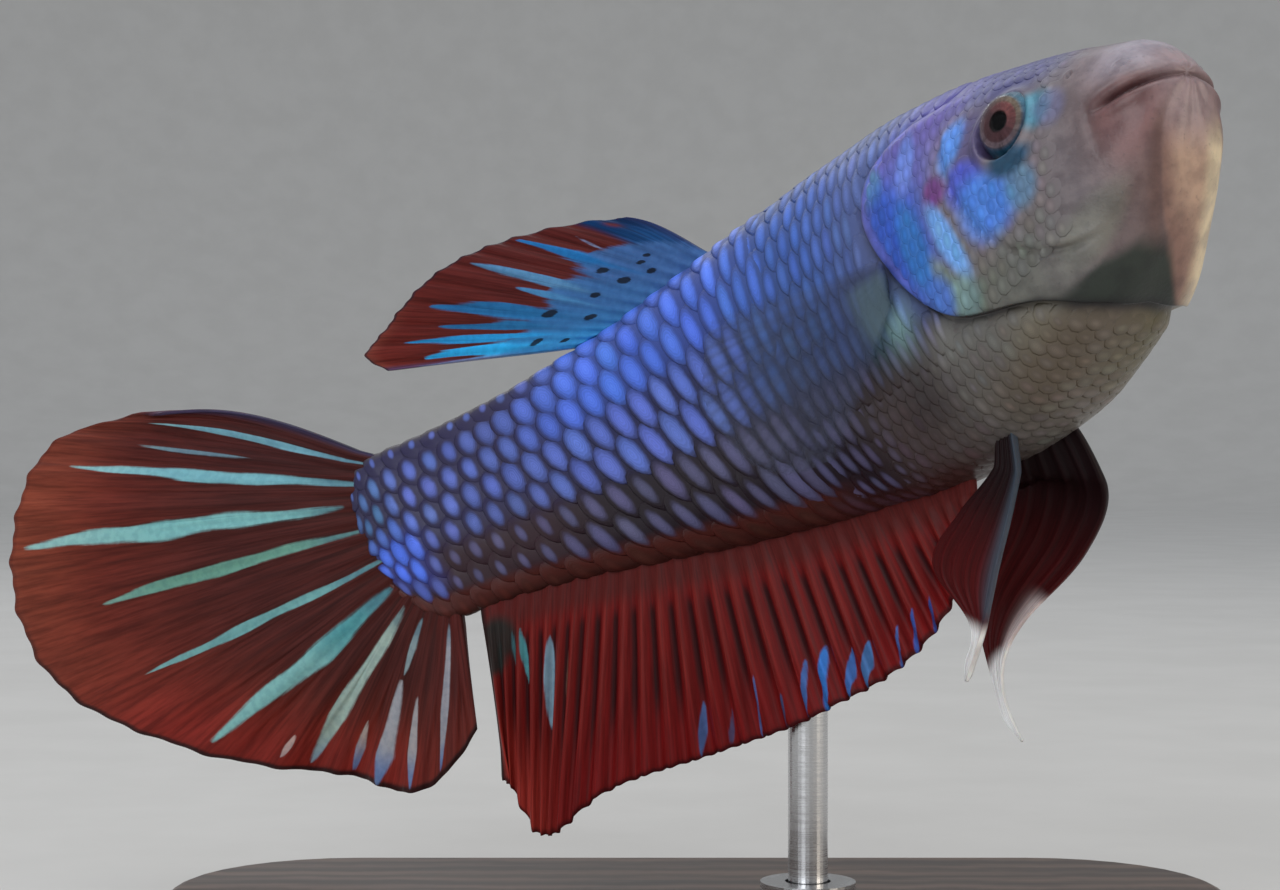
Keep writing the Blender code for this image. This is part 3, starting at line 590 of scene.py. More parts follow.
def flank_marks(t, down, fold):
    """Ground, sheen, fill and glint of the flank: blue above, dull below, darker on the tail stock.

    The nape is slate blue under a grey veil, and a bright cluster lies at the tail's root.
    """
    upper = fade(down, 62.0, 84.0)
    low = smooth_step(down, 94.0, 114.0)
    rear = smooth_step(t, 0.74, 0.87)
    nape = fade(t, 0.47, 0.58)
    slate = 0.95 * nape * (1.0 - low)
    ahead = fade(t, 0.34, 0.44)
    # Painted shade: the back near the spine, over the front of the flank, is darkened by up to 0.38.
    painted_spine_shade = (1.0 - 0.38 * fade(down, 22.0, 42.0) * fade(t, 0.46, 0.60))[..., None]
    veil = bell(t - 0.475, 0.095) * bell(down - 96.0, 26.0)
    under = smooth_step(down, 90.0, 116.0)
    cluster = smooth_step(t, 0.975, 1.01) * smooth_step(fold, 0.20, 0.25) * fade(fold, 0.38, 0.43)
    top_row = fade(down, 9.0, 24.0) * smooth_step(t, 0.74, 0.84)
    last_row = smooth_step(fold, 0.415, 0.440) * smooth_step(t, 0.46, 0.54)
    ground = painted(
        SIDE_GAP, (BACK_GAP, upper), (LOW_GAP, low), (blend(STOCK_GAP, STOCK_LOW_GAP, low), rear),
        (blend(NAPE_GAP, NECK_GAP, ahead), slate),
    )
    ground = painted(
        ground * painted_spine_shade, (blend(VEIL_GAP, VEIL_LOW_GAP, under), 0.90 * veil),
        (CLUSTER_GAP, 0.75 * cluster), (TOP_GAP, top_row), (LAST_ROW_GAP, 0.92 * last_row),
    )
    sheen = painted(
        SIDE_BLUE, (BACK_BLUE, upper), (LOW_VIOLET, low), (blend(STOCK_BLUE, STOCK_LOW_VIOLET, low), rear),
        (blend(NAPE_BLUE, NECK_BLUE, ahead), slate),
    )
    sheen = painted(
        sheen * painted_spine_shade, (blend(VEIL_BLUE, VEIL_LOW_GREY, under), 0.85 * veil),
        (TAIL_TEAL, 0.6 * smooth_step(t, 0.985, 1.02) * bell(down - 66.0, 26.0)),
        (CLUSTER_BLUE, cluster), (TOP_GREY, top_row),
        (LAST_ROW_RUST, smooth_step(fold, 0.438, 0.446) * last_row),
    )
    stock = smooth_step(t, 0.83, 0.92)
    fill = 1.04 - 0.20 * low - 0.10 * rear - 0.08 * nape - 0.13 * stock + 0.37 * cluster
    fill = fill * (1.0 - 0.55 * fade(fold, 0.055, 0.075) * smooth_step(t, 0.78, 0.86))
    glint = 0.40 - 0.25 * low - 0.15 * veil - 0.15 * fade(down, 30.0, 55.0)
    return ground, sheen, fill, glint


def with_breast(marks, t, down, turn):
    """The breast's plain scales over the flank's marks, with a smoky patch and a rusty belly."""
    ground, sheen, fill, glint = marks
    breast = smooth_step(down, 104.0, 126.0) * fade(t, 0.39, 0.47)
    plain = painted(
        BREAST_GREY,
        (BREAST_BROWN, smooth_step(t, 0.27, 0.40)),
        (BREAST_OLIVE, smooth_step(down, 132.0, 152.0) * fade(t, 0.22, 0.32)),
        # Painted warm light on the left of the breast's underside in front, as on the chin.
        (BREAST_WARM_LIGHT, smooth_step(turn, 172.0, 192.0) * fade(turn, 215.0, 240.0) * fade(t, 0.20, 0.26)),
    )
    smoke = 0.8 * bell(t - 0.345, 0.045) * bell(down - 128.0, 14.0)
    belly = smooth_step(down, 150.0, 170.0) * smooth_step(t, 0.30, 0.42)
    ground = painted(ground, (0.92 * plain, breast), (SMOKE_GAP, smoke), (BELLY_GAP, 0.85 * belly))
    sheen = painted(
        sheen, (1.04 * plain, 0.95 * breast), (SMOKE_BROWN, smoke), (BELLY_RUST, 0.75 * belly)
    )
    return ground, sheen, fill * (1.0 - breast) + 0.85 * breast, glint * (1.0 - 0.9 * breast)


def with_head(marks, t, down, turn, behind):
    """The face's colours over the marks, in front of the gill cover's edge and on the crown."""
    ground, sheen, fill, glint = marks
    head = np.maximum(fade(behind, -0.15, 0.10) * smooth_step(down, 30.0, 42.0), fade(t, 0.22, 0.33))
    head = head * (1.0 - smooth_step(behind, -0.1, 0.1) * smooth_step(down, 100.0, 112.0))
    face, face_glint = face_colour(t, down, turn)
    ground, sheen = blend(ground, face, head), blend(sheen, 1.08 * face, head)
    return ground, sheen, fill * (1.0 - head) + 1.1 * head, glint * (1.0 - head) + face_glint * head


def with_gill_lines(ground, down, turn, behind):
    """A painted rim light on the gill cover's edge, a painted shadow behind it, and a dark line across the
    throat.
    """
    flap = smooth_step(down, 36.0, 48.0)
    throat = smooth_step(down, 122.0, 134.0) * fade(turn, 184.0, 200.0)
    return painted(
        ground,
        (GILL_RIM_LIGHT, 0.8 * bell(behind + 0.42, 0.34) * flap * fade(down, 92.0, 106.0)),
        (GILL_SHADOW, 0.85 * bell(behind - 0.22, 0.34) * flap),
        (THROAT_LINE, 0.95 * bell(behind - 0.08, 0.34) * throat),
    )


def markings(t, q):
    """Colour between the scales, colour of the scales, their bright share and their glint.

    Every field is a smooth function of the place on the skin, and a few soft patches mark the head
    and the side behind it.
    """
    t, q = np.broadcast_arrays(t, q)
    down = down_of(angle_at(t, q))
    turn = np.where(q % 1.0 < 0.5, down, 360.0 - down)
    behind = behind_gill(t, down)
    marks = flank_marks(t, down, np.minimum(q % 1.0, 1.0 - q % 1.0))
    marks = with_breast(marks, t, down, turn)
    ground, sheen, fill, glint = with_head(marks, t, down, turn, behind)
    ground = with_gill_lines(ground, down, turn, behind)
    for station, centre, size, tint, strength in BODY_PATCHES:
        along = (t - station) * STANDARD_LENGTH / size
        near = bell(np.hypot(along, (down - centre) / (BODY_PATCH_SPREAD * size)), 1.0)
        near = strength * near * smooth_step(behind, 0.0, 0.3)
        ground, sheen = blend(ground, tint, near), blend(sheen, tint, near)
    return blend(ground, LIP_RED_AND_SHADE, mouth_cleft(t, down)), sheen, fill, glint


def mouth_cleft(t, down):
    """1 in the cleft between the lips, painted shade, and a soft reddish band of lip colour close to it.
    """
    above = section(t, np.radians(90.0 + down))[0] - mouth_line(t)
    near = fade(t, MOUTH_END - 0.022, MOUTH_END - 0.002) * snout_share(t)
    return near * (0.70 * bell(above, 0.17) + 0.22 * bell(above, 0.65)).clip(0.0, 1.0)


# ==== materials ===================================================================================
def new_material(name, roughness=0.4, **constants):
    """A material whose shader has these constants on its own sockets."""
    made = bpy.data.materials.new(name)
    made.use_nodes = True
    shader = made.node_tree.nodes["Principled BSDF"]
    shader.inputs["Roughness"].default_value = roughness
    for label, value in constants.items():
        shader.inputs[label.replace("_", " ")].default_value = value
    return made, made.node_tree, shader


def add_node(tree, kind, inputs=None, **settings):
    """A node with its settings, and its inputs given as values or as other nodes' outputs."""
    made = tree.nodes.new(kind)
    for label, value in settings.items():
        setattr(made, label, value)
    for label, value in (inputs or {}).items():
        socket = made.inputs[label]
        if isinstance(value, bpy.types.NodeSocket):
            tree.links.new(value, socket)
        else:
            socket.default_value = value
    return made


def attribute(tree, name, output="Color"):
    """A named attribute of the mesh."""
    return add_node(tree, "ShaderNodeAttribute", attribute_name=name).outputs[output]


def noise(tree, scale, detail=3.0, vector=None, roughness=0.55):
    """A noise between about 0.3 and 0.7, on Object coordinates unless a vector is given."""
    if vector is None:
        vector = add_node(tree, "ShaderNodeTexCoord").outputs["Object"]
    inputs = {"Vector": vector, "Scale": scale, "Detail": detail, "Roughness": roughness}
    return add_node(tree, "ShaderNodeTexNoise", inputs).outputs["Fac"]


def maths(tree, operation, first, second=0.0):
    """One sum on two numbers, each a value or another node's output."""
    return add_node(tree, "ShaderNodeMath", {0: first, 1: second}, operation=operation).outputs[0]


def ranged(tree, value, low, high, to_low=0.0, to_high=1.0):
    """Carries a value from one range to another, with an S-shaped rise."""
    inputs = {"Value": value, "From Min": low, "From Max": high, "To Min": to_low, "To Max": to_high}
    made = add_node(tree, "ShaderNodeMapRange", inputs, interpolation_type="SMOOTHSTEP")
    return made.outputs["Result"]


def mixed(tree, share, first, second, way="MIX"):
    """Two colours mixed by a share."""
    made = add_node(tree, "ShaderNodeMix", data_type="RGBA", blend_type=way)
    for index, value in ((0, share), (6, first), (7, second)):
        socket = made.inputs[index]
        if isinstance(value, bpy.types.NodeSocket):
            tree.links.new(value, socket)
        elif index == 0:
            socket.default_value = value
        else:
            socket.default_value = (*value, 1.0)
    return made.outputs[2]


def mottled(tree, colour, grain, low, high, darker, lighter):
    """A colour multiplied by a darker and a lighter tint in turn, as the grain goes from low to high."""
    dark = mixed(tree, 1.0, colour, darker, "MULTIPLY")
    light = mixed(tree, 1.0, colour, lighter, "MULTIPLY")
    return mixed(tree, ranged(tree, grain, low, high), dark, light)


def off_middle(tree, grain, strength):
    """A noise's distance from its middle value, made stronger or weaker."""
    return maths(tree, "MULTIPLY", maths(tree, "SUBTRACT", grain, 0.5), strength)


def stretched(tree, place_on, scale):
    """Places multiplied by a scale for each axis."""
    return add_node(tree, "ShaderNodeMapping", {"Vector": place_on, "Scale": scale}).outputs[0]


def bump(tree, shader, height, strength, distance):
    """A fine relief in millimetres on the shader's normal."""
    inputs = {"Height": height, "Strength": strength, "Distance": distance * MM}
    made = add_node(tree, "ShaderNodeBump", inputs)
    tree.links.new(made.outputs["Normal"], shader.inputs["Normal"])


def feed(tree, shader, **links):
    """Links outputs to the shader's sockets, whose names are written with underscores."""
    for label, output in links.items():
        tree.links.new(output, shader.inputs[label.replace("_", " ")])


def skin_material():
    """Bare skin: the markings, mottled at two scales, wet and finely pored."""
    made, tree, shader = new_material(
        "bare skin", Coat_Weight=0.12, Coat_Roughness=0.25, Specular_IOR_Level=0.35,
        Subsurface_Weight=0.06, Subsurface_Scale=0.0006
    )
    coarse = noise(tree, 900.0, 4.0)
    fine = noise(tree, 5200.0, 3.0)
    patchy = mottled(
        tree, attribute(tree, "ground"), coarse, 0.34, 0.66, (0.80, 0.78, 0.80), (1.16, 1.15, 1.14)
    )
    speckled = mixed(tree, ranged(tree, fine, 0.60, 0.74, 0.0, 0.25), patchy, (0.045, 0.04, 0.05))
    feed(tree, shader, Base_Color=speckled, Metallic=attribute(tree, "glint", "Fac"))
    feed(tree, shader, Roughness=ranged(tree, coarse, 0.3, 0.7, 0.30, 0.48))
    bump(tree, shader, fine, 0.35, 0.05)
    return made


# A scale's bright oval, in pitches back from its root and in row steps, and how close its rings are.
BRIGHT_MIDDLE, BRIGHT_LENGTH, BRIGHT_BREADTH = 0.17, 0.37, 0.62
GROWTH_RINGS = 34.0


def scale_material():
    """A scale: a bright oval on a darker rim, with growth rings and a satin glint."""
    made, tree, shader = new_material(
        "scales", Coat_Weight=0.08, Coat_Roughness=0.2, Specular_IOR_Level=0.3
    )
    local = add_node(tree, "ShaderNodeSeparateXYZ", {0: attribute(tree, "plate", "Vector")})
    x, y = local.outputs[0], local.outputs[1]
    ragged = noise(tree, 2600.0, 3.0)
    x = maths(tree, "SUBTRACT", x, BRIGHT_MIDDLE)
    x_part = maths(tree, "POWER", maths(tree, "DIVIDE", x, BRIGHT_LENGTH), 2.0)
    y_part = maths(tree, "POWER", maths(tree, "DIVIDE", y, BRIGHT_BREADTH), 2.0)
    away = maths(tree, "SQRT", maths(tree, "ADD", x_part, y_part))
    away = maths(tree, "DIVIDE", away, attribute(tree, "fill", "Fac"))
    away = maths(tree, "ADD", away, off_middle(tree, ragged, 0.32))
    bright = ranged(tree, away, 0.56, 1.16, 1.0, 0.0)
    # A painted highlight: each oval is 1.2 times as bright in its middle, falling to 0.84 near its border.
    painted_highlight = ranged(tree, away, 0.05, 0.95, 1.20, 0.84)
    sheen = attribute(tree, "sheen")
    highlighted_sheen = add_node(tree, "ShaderNodeVectorMath", {0: sheen, "Scale": painted_highlight}, operation="SCALE")
    colour = mixed(tree, bright, attribute(tree, "ground"), highlighted_sheen.outputs[0])
    ring_turn = maths(tree, "MULTIPLY", away, GROWTH_RINGS)
    rings = add_node(tree, "ShaderNodeMath", {0: ring_turn}, operation="SINE").outputs[0]
    shade = ranged(tree, rings, -1.0, 1.0, 0.92, 1.06)
    lined = add_node(tree, "ShaderNodeVectorMath", {0: colour, "Scale": shade}, operation="SCALE")
    feed(tree, shader, Base_Color=lined.outputs[0])
    feed(tree, shader, Metallic=maths(tree, "MULTIPLY", bright, attribute(tree, "glint", "Fac")))
    feed(tree, shader, Roughness=ranged(tree, ragged, 0.3, 0.7, 0.30, 0.46))
    bump(tree, shader, rings, 0.14, 0.02)
    return made


RAY_GRAIN = (9.0, 0.22, 1.0)       # fine across the rays and long along them
DOT_INK = (0.006, 0.008, 0.014)


def web_material(name, soft=0.10, clear=False):
    """Fin skin: membrane and streak colours, a ragged border between them, and grain along the rays."""
    made, tree, shader = new_material(
        name, 0.5, Specular_IOR_Level=0.12, Subsurface_Weight=soft, Subsurface_Scale=0.0005
    )
    rays = attribute(tree, "ray_place", "Vector")
    grain_place = add_node(tree, "ShaderNodeVectorMath", {0: rays, 1: RAY_GRAIN}, operation="MULTIPLY")
    grain = noise(tree, 1.0, 4.0, grain_place.outputs[0], 0.62)
    fleck = noise(tree, 2400.0, 3.0)
    grain_part = off_middle(tree, grain, 0.55)
    uneven = maths(tree, "ADD", grain_part, off_middle(tree, fleck, 0.10))
    field = maths(tree, "ADD", attribute(tree, "streak", "Fac"), uneven)
    share = ranged(tree, field, -0.16, 0.20)
    grained = mottled(
        tree, attribute(tree, "membrane"), grain, 0.32, 0.68, (0.70, 0.62, 0.62), (1.26, 1.20, 1.18)
    )
    streak = attribute(tree, "streak_colour")
    pale = mixed(tree, 1.0, streak, (1.22, 1.18, 1.14), "MULTIPLY")
    streaked = mixed(tree, ranged(tree, fleck, 0.35, 0.65), streak, pale)
    near_dot = maths(tree, "ADD", attribute(tree, "dot", "Fac"), uneven)
    dotted = ranged(tree, near_dot, 0.42, 0.60, 0.0, 0.92)
    coloured = mixed(tree, dotted, mixed(tree, share, grained, streaked), DOT_INK)
    feed(tree, shader, Base_Color=coloured)
    feed(tree, shader, Roughness=ranged(tree, grain, 0.3, 0.7, 0.38, 0.56))
    if clear:
        feed(tree, shader, Alpha=attribute(tree, "cover", "Fac"))
    else:
        feed(tree, shader, Metallic=maths(tree, "MULTIPLY", share, 0.20))
    bump(tree, shader, grain, 0.25, 0.05)
    return made


def eye_material():
    """The eyeball's painted front, with fine radial threads in the iris."""
    made, tree, shader = new_material("eyeball", 0.5, Specular_IOR_Level=0.1)
    around = attribute(tree, "round_place", "Vector")
    threads = noise(tree, 1.0, 4.0, around, 0.65)
    threaded = mottled(
        tree, attribute(tree, "iris"), threads, 0.34, 0.66, (0.72, 0.70, 0.72), (1.30, 1.26, 1.24)
    )
    feed(tree, shader, Base_Color=threaded)
    feed(tree, shader, Metallic=attribute(tree, "glint", "Fac"))
    bump(tree, shader, threads, 0.2, 0.03)
    return made


def cornea_material():
    """The clear dome over the eyeball."""
    return new_material("cornea", 0.02, Transmission_Weight=1.0, IOR=1.12, Alpha=0.3)[0]


# Each finish of the stand and floor: its dark and its light.
WALNUT_DARK, WALNUT_LIGHT = (0.030, 0.014, 0.008), (0.105, 0.052, 0.028)
WALNUT_PORE = (0.012, 0.007, 0.005)
STEEL_DARK, STEEL_LIGHT = (0.55, 0.55, 0.56), (0.63, 0.63, 0.64)
FLOOR_DARK, FLOOR_LIGHT = (0.60, 0.59, 0.57), (0.63, 0.62, 0.60)
# How much each grain is shrunk along each axis.
WALNUT_GRAIN, PORE_GRAIN = (34.0, 420.0, 260.0), (160.0, 3200.0, 900.0)
TURNING_GRAIN = (300.0, 300.0, 9000.0)


def wood_material():
    """Dark oiled walnut: long stretched grain, pores and a satin finish."""
    made, tree, shader = new_material("oiled walnut", 0.38, Coat_Weight=0.25, Coat_Roughness=0.25)
    place_on = add_node(tree, "ShaderNodeTexCoord").outputs["Object"]
    warp = noise(tree, 1.0, 5.0, stretched(tree, place_on, WALNUT_GRAIN))
    wave = add_node(
        tree, "ShaderNodeTexWave",
        {"Vector": place_on, "Scale": 150.0, "Distortion": 3.4, "Detail": 3.0, "Detail Scale": 1.4},
        wave_type="BANDS", bands_direction="Y",
    ).outputs["Fac"]
    wave_part = maths(tree, "MULTIPLY", wave, 0.26)
    grain = maths(tree, "ADD", wave_part, maths(tree, "MULTIPLY", warp, 0.90))
    colour = mixed(tree, ranged(tree, grain, 0.35, 0.85), WALNUT_DARK, WALNUT_LIGHT)
    pores = noise(tree, 1.0, 2.0, stretched(tree, place_on, PORE_GRAIN))
    pored = mixed(tree, ranged(tree, pores, 0.60, 0.70, 0.0, 0.7), colour, WALNUT_PORE)
    feed(tree, shader, Base_Color=pored, Roughness=ranged(tree, grain, 0.3, 0.9, 0.46, 0.34))
    bump(tree, shader, pores, 0.25, -0.05)
    return made


def steel_material():
    """Turned stainless steel with fine rings round its axis."""
    made, tree, shader = new_material("turned steel", 0.24, Metallic=1.0)
    place_on = add_node(tree, "ShaderNodeTexCoord").outputs["Object"]
    rings = noise(tree, 1.0, 3.0, stretched(tree, place_on, TURNING_GRAIN))
    feed(tree, shader, Base_Color=mixed(tree, ranged(tree, rings, 0.3, 0.7), STEEL_DARK, STEEL_LIGHT))
    feed(tree, shader, Roughness=ranged(tree, rings, 0.3, 0.7, 0.22, 0.32))
    bump(tree, shader, rings, 0.05, 0.01)
    return made


def floor_material():
    """A matt pale floor with a faint unevenness."""
    made, tree, shader = new_material("pale floor", 0.9, Specular_IOR_Level=0.15)
    grain = noise(tree, 60.0, 4.0)
    feed(tree, shader, Base_Color=mixed(tree, ranged(tree, grain, 0.3, 0.7), FLOOR_DARK, FLOOR_LIGHT))
    return made


# ==== pieces: skin and scales =====================================================================
RING_POINTS, SNOUT_RINGS, HEAD_RINGS, TRUNK_RINGS, LOBE_RINGS = 288, 12, 214, 84, 20
LOBE_FRONT = 0.995
LONGEST_ROW = 400.0                # more columns than any row of scales needs
GILL_GAP = 0.30                    # between the gill cover's edge and the first plates
UV_RADIUS = 0.0015                 # half the width of a scale's own patch of the UV map


def make_skin(material):
    """One closed surface over the whole body: rings of equal arc shares, closed by a point at each end.

    The rings lie closest over the head, and bend along the gill cover's edge.
    """
    around = RING_POINTS
    snout = SNOUT_START + SNOUT_ROUND * (1 - np.cos(np.linspace(0.10, np.pi / 2, SNOUT_RINGS)))
    head = np.linspace(snout[-1], GILL_PEAK + 0.016, HEAD_RINGS)[1:]
    trunk = np.linspace(head[-1], LOBE_FRONT, TRUNK_RINGS)[1:]
    lobe_turn = np.linspace(0.0, np.pi / 2 - 0.06, LOBE_RINGS)[1:]
    lobe = LOBE_FRONT + (LOBE_END - LOBE_FRONT) * np.sin(lobe_turn)
    s = np.concatenate([snout, head, trunk, lobe])[:, None]
    q = (np.arange(around) / around)[None, :]
    t = follow_gill(s, down_of(angle_at(s + 0 * q, q + 0 * s)))
    angle = angle_at(t, q + 0 * t)
    points = skin_point(t, angle).reshape(-1, 3)
    first, last = points[:around].mean(axis=0), points[-around:].mean(axis=0)
    quads, row, column = grid_quads(len(s), around, closed=True)
    uv = np.stack([s[row, 0] / LOBE_END, column / around], axis=-1)
    ring = np.arange(around)
    start = len(points)
    following = (ring + 1) % around
    front = np.stack([np.full(around, start), ring, following], axis=-1)
    tail = start - around
    rear = np.stack([np.full(around, start + 1), tail + following, tail + ring], axis=-1)
    share = np.stack([ring + 0.5, ring, ring + 1.0], axis=-1) / around
    front_uv = np.stack([np.broadcast_to([0.0, s[0, 0], s[0, 0]], share.shape), share], axis=-1)
    rear_share = share[:, [0, 2, 1]]
    rear_uv = np.stack([np.broadcast_to([1.0, 0.998, 0.998], share.shape), rear_share], axis=-1)
    uvs = np.concatenate([uv.reshape(-1, 2), front_uv.reshape(-1, 2), rear_uv.reshape(-1, 2)])
    ground, _, _, glint = markings(t, q + 0 * t)
    ground = np.vstack([ground.reshape(-1, 3), ground[0, :1], ground[-1, :1]])
    head_only = fade(behind_gill(t, down_of(angle)), -0.2, 0.2)
    glint = np.append((glint * head_only).ravel(), [0.0, 0.0])
    piece = make_piece(
        "skin", np.vstack([points, first, last]), [quads, front, rear], material,
        uv=uvs, colours={"ground": ground}, numbers={"glint": glint},
    )
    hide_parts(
        "head", "lower_jaw", "throat", "gill_cover_right", "gill_cover_left",
        "trunk_front", "trunk_rear", "tail_stock",
    )


def plate_shape(sectors, shares):
    """One scale in its own measures: x back along the body in pitches, y down round it in row steps.

    Rings of an oval, longer in front, whose height falls with the fourth power of their share of the
    way out. A lower ring and a point under it close the plate.
    """
    turn = np.linspace(0.0, 2 * np.pi, sectors, endpoint=False)
    reach = np.where(np.cos(turn) > 0, PLATE_BACK, PLATE_FRONT)
    rim = np.stack([reach * np.cos(turn), PLATE_SIDE * np.sin(turn)], axis=-1)
    flat = np.vstack([np.zeros((1, 2))] + [share * rim for share in shares] + [rim, np.zeros((1, 2))])
    level = np.concatenate(
        [[PLATE_CROWN]] + [np.full(sectors, PLATE_CROWN + PLATE_RIM * share**4) for share in shares]
        + [np.full(sectors, PLATE_RIM), [PLATE_RIM]]
    )
    k = np.arange(sectors)
    n = (k + 1) % sectors
    inner = np.stack([0 * k, 1 + k, 1 + n], axis=-1)
    starts = 1 + sectors * np.arange(len(shares) + 1)
    bands = [np.stack([near + k, far + k, far + n, near + n], axis=-1)
             for near, far in zip(starts[:-1], starts[1:])]
    lower = np.stack([0 * k + starts[-1] + sectors, starts[-1] + n, starts[-1] + k], axis=-1)
    return flat, level, [inner, lower], bands


def plate_colours(t, q, stations, around, chance):
    """Ground, sheen, fill and glint of each plate, a little different from one plate to the next.

    Behind the head each plate has the sheen of its root, and in front the sheen of each place.
    """
    ground, sheen, _, glint = markings(stations, around)
    root_sheen, root_fill = markings(t, q)[1:3]
    one_colour = smooth_step(t, 0.30, 0.42)[:, None, None]
    sheen = sheen * (1.0 - one_colour) + root_sheen[:, None, :] * one_colour
    sheen = sheen * (1.0 + 0.07 * chance[:, None, :1]) * (1.0 + 0.03 * chance[:, None, 1:4])
    low = smooth_step(down_of(angle_at(t, q)), 112.0, 134.0)
    fill = root_fill * (1.0 + (0.05 + 0.16 * low) * chance[:, 4]).clip(0.55, 1.3)
    return ground, sheen.clip(0.0, 1.0), fill, glint


def make_scales(name, material, roots, rows, lift, random, shape, keep_behind_gill=False):
    """Overlapping plates on the skin: one shape arrayed over its roots and made one mesh.

    Each point of a plate is a skin point a little back and round from its root, carried forward by
    the lean for each step down. Its height is the plate's own, plus a tilt that sinks the front edge
    and lifts the rear.
    """
    t, q, pitch, lean, downward = roots
    flat, level, triangles, bands = shape
    count, size = len(t), len(flat)
    wide = perimeter_at(t) / rows
    jitter = 1.0 + PLATE_JITTER * random.standard_normal((count, 2))
    x = flat[None, :, 0] * jitter[:, :1]
    y = flat[None, :, 1] * jitter[:, 1:]
    back = x * pitch[:, None] - lean[:, None] * y * wide[:, None]
    stations = np.clip(t[:, None] + back / STANDARD_LENGTH, SNOUT_START, LOBE_END - 0.001)
    around = q[:, None] + downward[:, None] * y / rows
    if keep_behind_gill:
        rim = gill_edge(down_of(angle_at(stations, around))) + GILL_GAP / STANDARD_LENGTH
        stations = np.maximum(stations, rim)
    angle = angle_at(stations, around)
    tilt = lift * (0.55 + 0.95 * flat[None, :, 0])
    height = tilt + level[None, :] * lift / (PLATE_CROWN - PLATE_RIM)
    points = skin_point(stations, angle, height)
    chance = random.standard_normal((count, 5))
    ground, sheen, fill, glint = plate_colours(t, q, stations, around, chance)
    offset = (np.arange(count) * size)[:, None, None]
    faces = [(f[None] + offset).reshape(-1, f.shape[1]) for f in (*triangles, *bands)]
    kinds = [np.concatenate(faces[:2]), np.concatenate(faces[2:])]
    root = np.stack([t / LOBE_END, q % 1.0], axis=-1)
    spot = root[:, None, :] + UV_RADIUS * np.stack([x / PLATE_FRONT, y / PLATE_SIDE], axis=-1)
    corner_order = np.concatenate([f.ravel() for f in kinds])
    plate = np.stack([x, y, np.broadcast_to(chance[:, :1], x.shape)], axis=-1).reshape(-1, 3)
    return make_piece(
        name, points.reshape(-1, 3), kinds, material, uv=spot.reshape(-1, 2)[corner_order],
        colours={"ground": ground.reshape(-1, 3), "sheen": sheen.reshape(-1, 3)},
        numbers={"fill": np.repeat(fill, size), "glint": glint.ravel(), "plate": plate},
    )


def lattice(start, end, pitch_at, rows, lean_at=None):
    """Roots in rows, as t, q, pitch, lean and the way q goes downwards, the same on both sides.

    Along the body the roots are the running sum of the pitch. Every other row lies half a pitch
    behind, and the whole net leans forward downwards.
    """
    counter = np.arange(0.0, LONGEST_ROW, 0.5)
    station = np.empty(len(counter))
    station[0] = start
    for i in range(1, len(counter)):
        station[i] = station[i - 1] + 0.5 * float(pitch_at(station[i - 1])) / STANDARD_LENGTH
    half = rows // 2
    row = np.arange(half)
    columns = np.arange(int(counter[np.searchsorted(station, end)]) + half)
    where = columns[:, None] + 0.5 * (row[None, :] - (half - 1) / 2)
    t = np.interp(where, counter, station, left=-1.0)
    pitch = np.interp(t, station, np.array([float(pitch_at(x)) for x in station]))
    q = np.broadcast_to((row + 0.5)[None, :] / rows, t.shape)
    lean = np.zeros(t.shape)
    if lean_at is not None:
        lean = lean_at(t)
        t = t - lean * (q - 0.25) * perimeter_at(t) / STANDARD_LENGTH
        lean = lean_at(t)
    right = (t.ravel(), q.ravel(), pitch.ravel(), lean.ravel())
    both = [np.concatenate([values, values]) for values in right]
    both[1][t.size:] = 1.0 - both[1][t.size:]
    return [*both, np.repeat([1.0, -1.0], t.size)]


def chosen(roots, shown):
    """The roots that are shown, from front to rear."""
    order = np.argsort(roots[0][shown], kind="stable")
    return [values[shown][order] for values in roots]


def down_and_behind(roots):
    """Each root's degrees from the back, and how many mm it lies behind the gill cover's edge."""
    down = down_of(angle_at(roots[0], roots[1]))
    return down, behind_gill(roots[0], down)


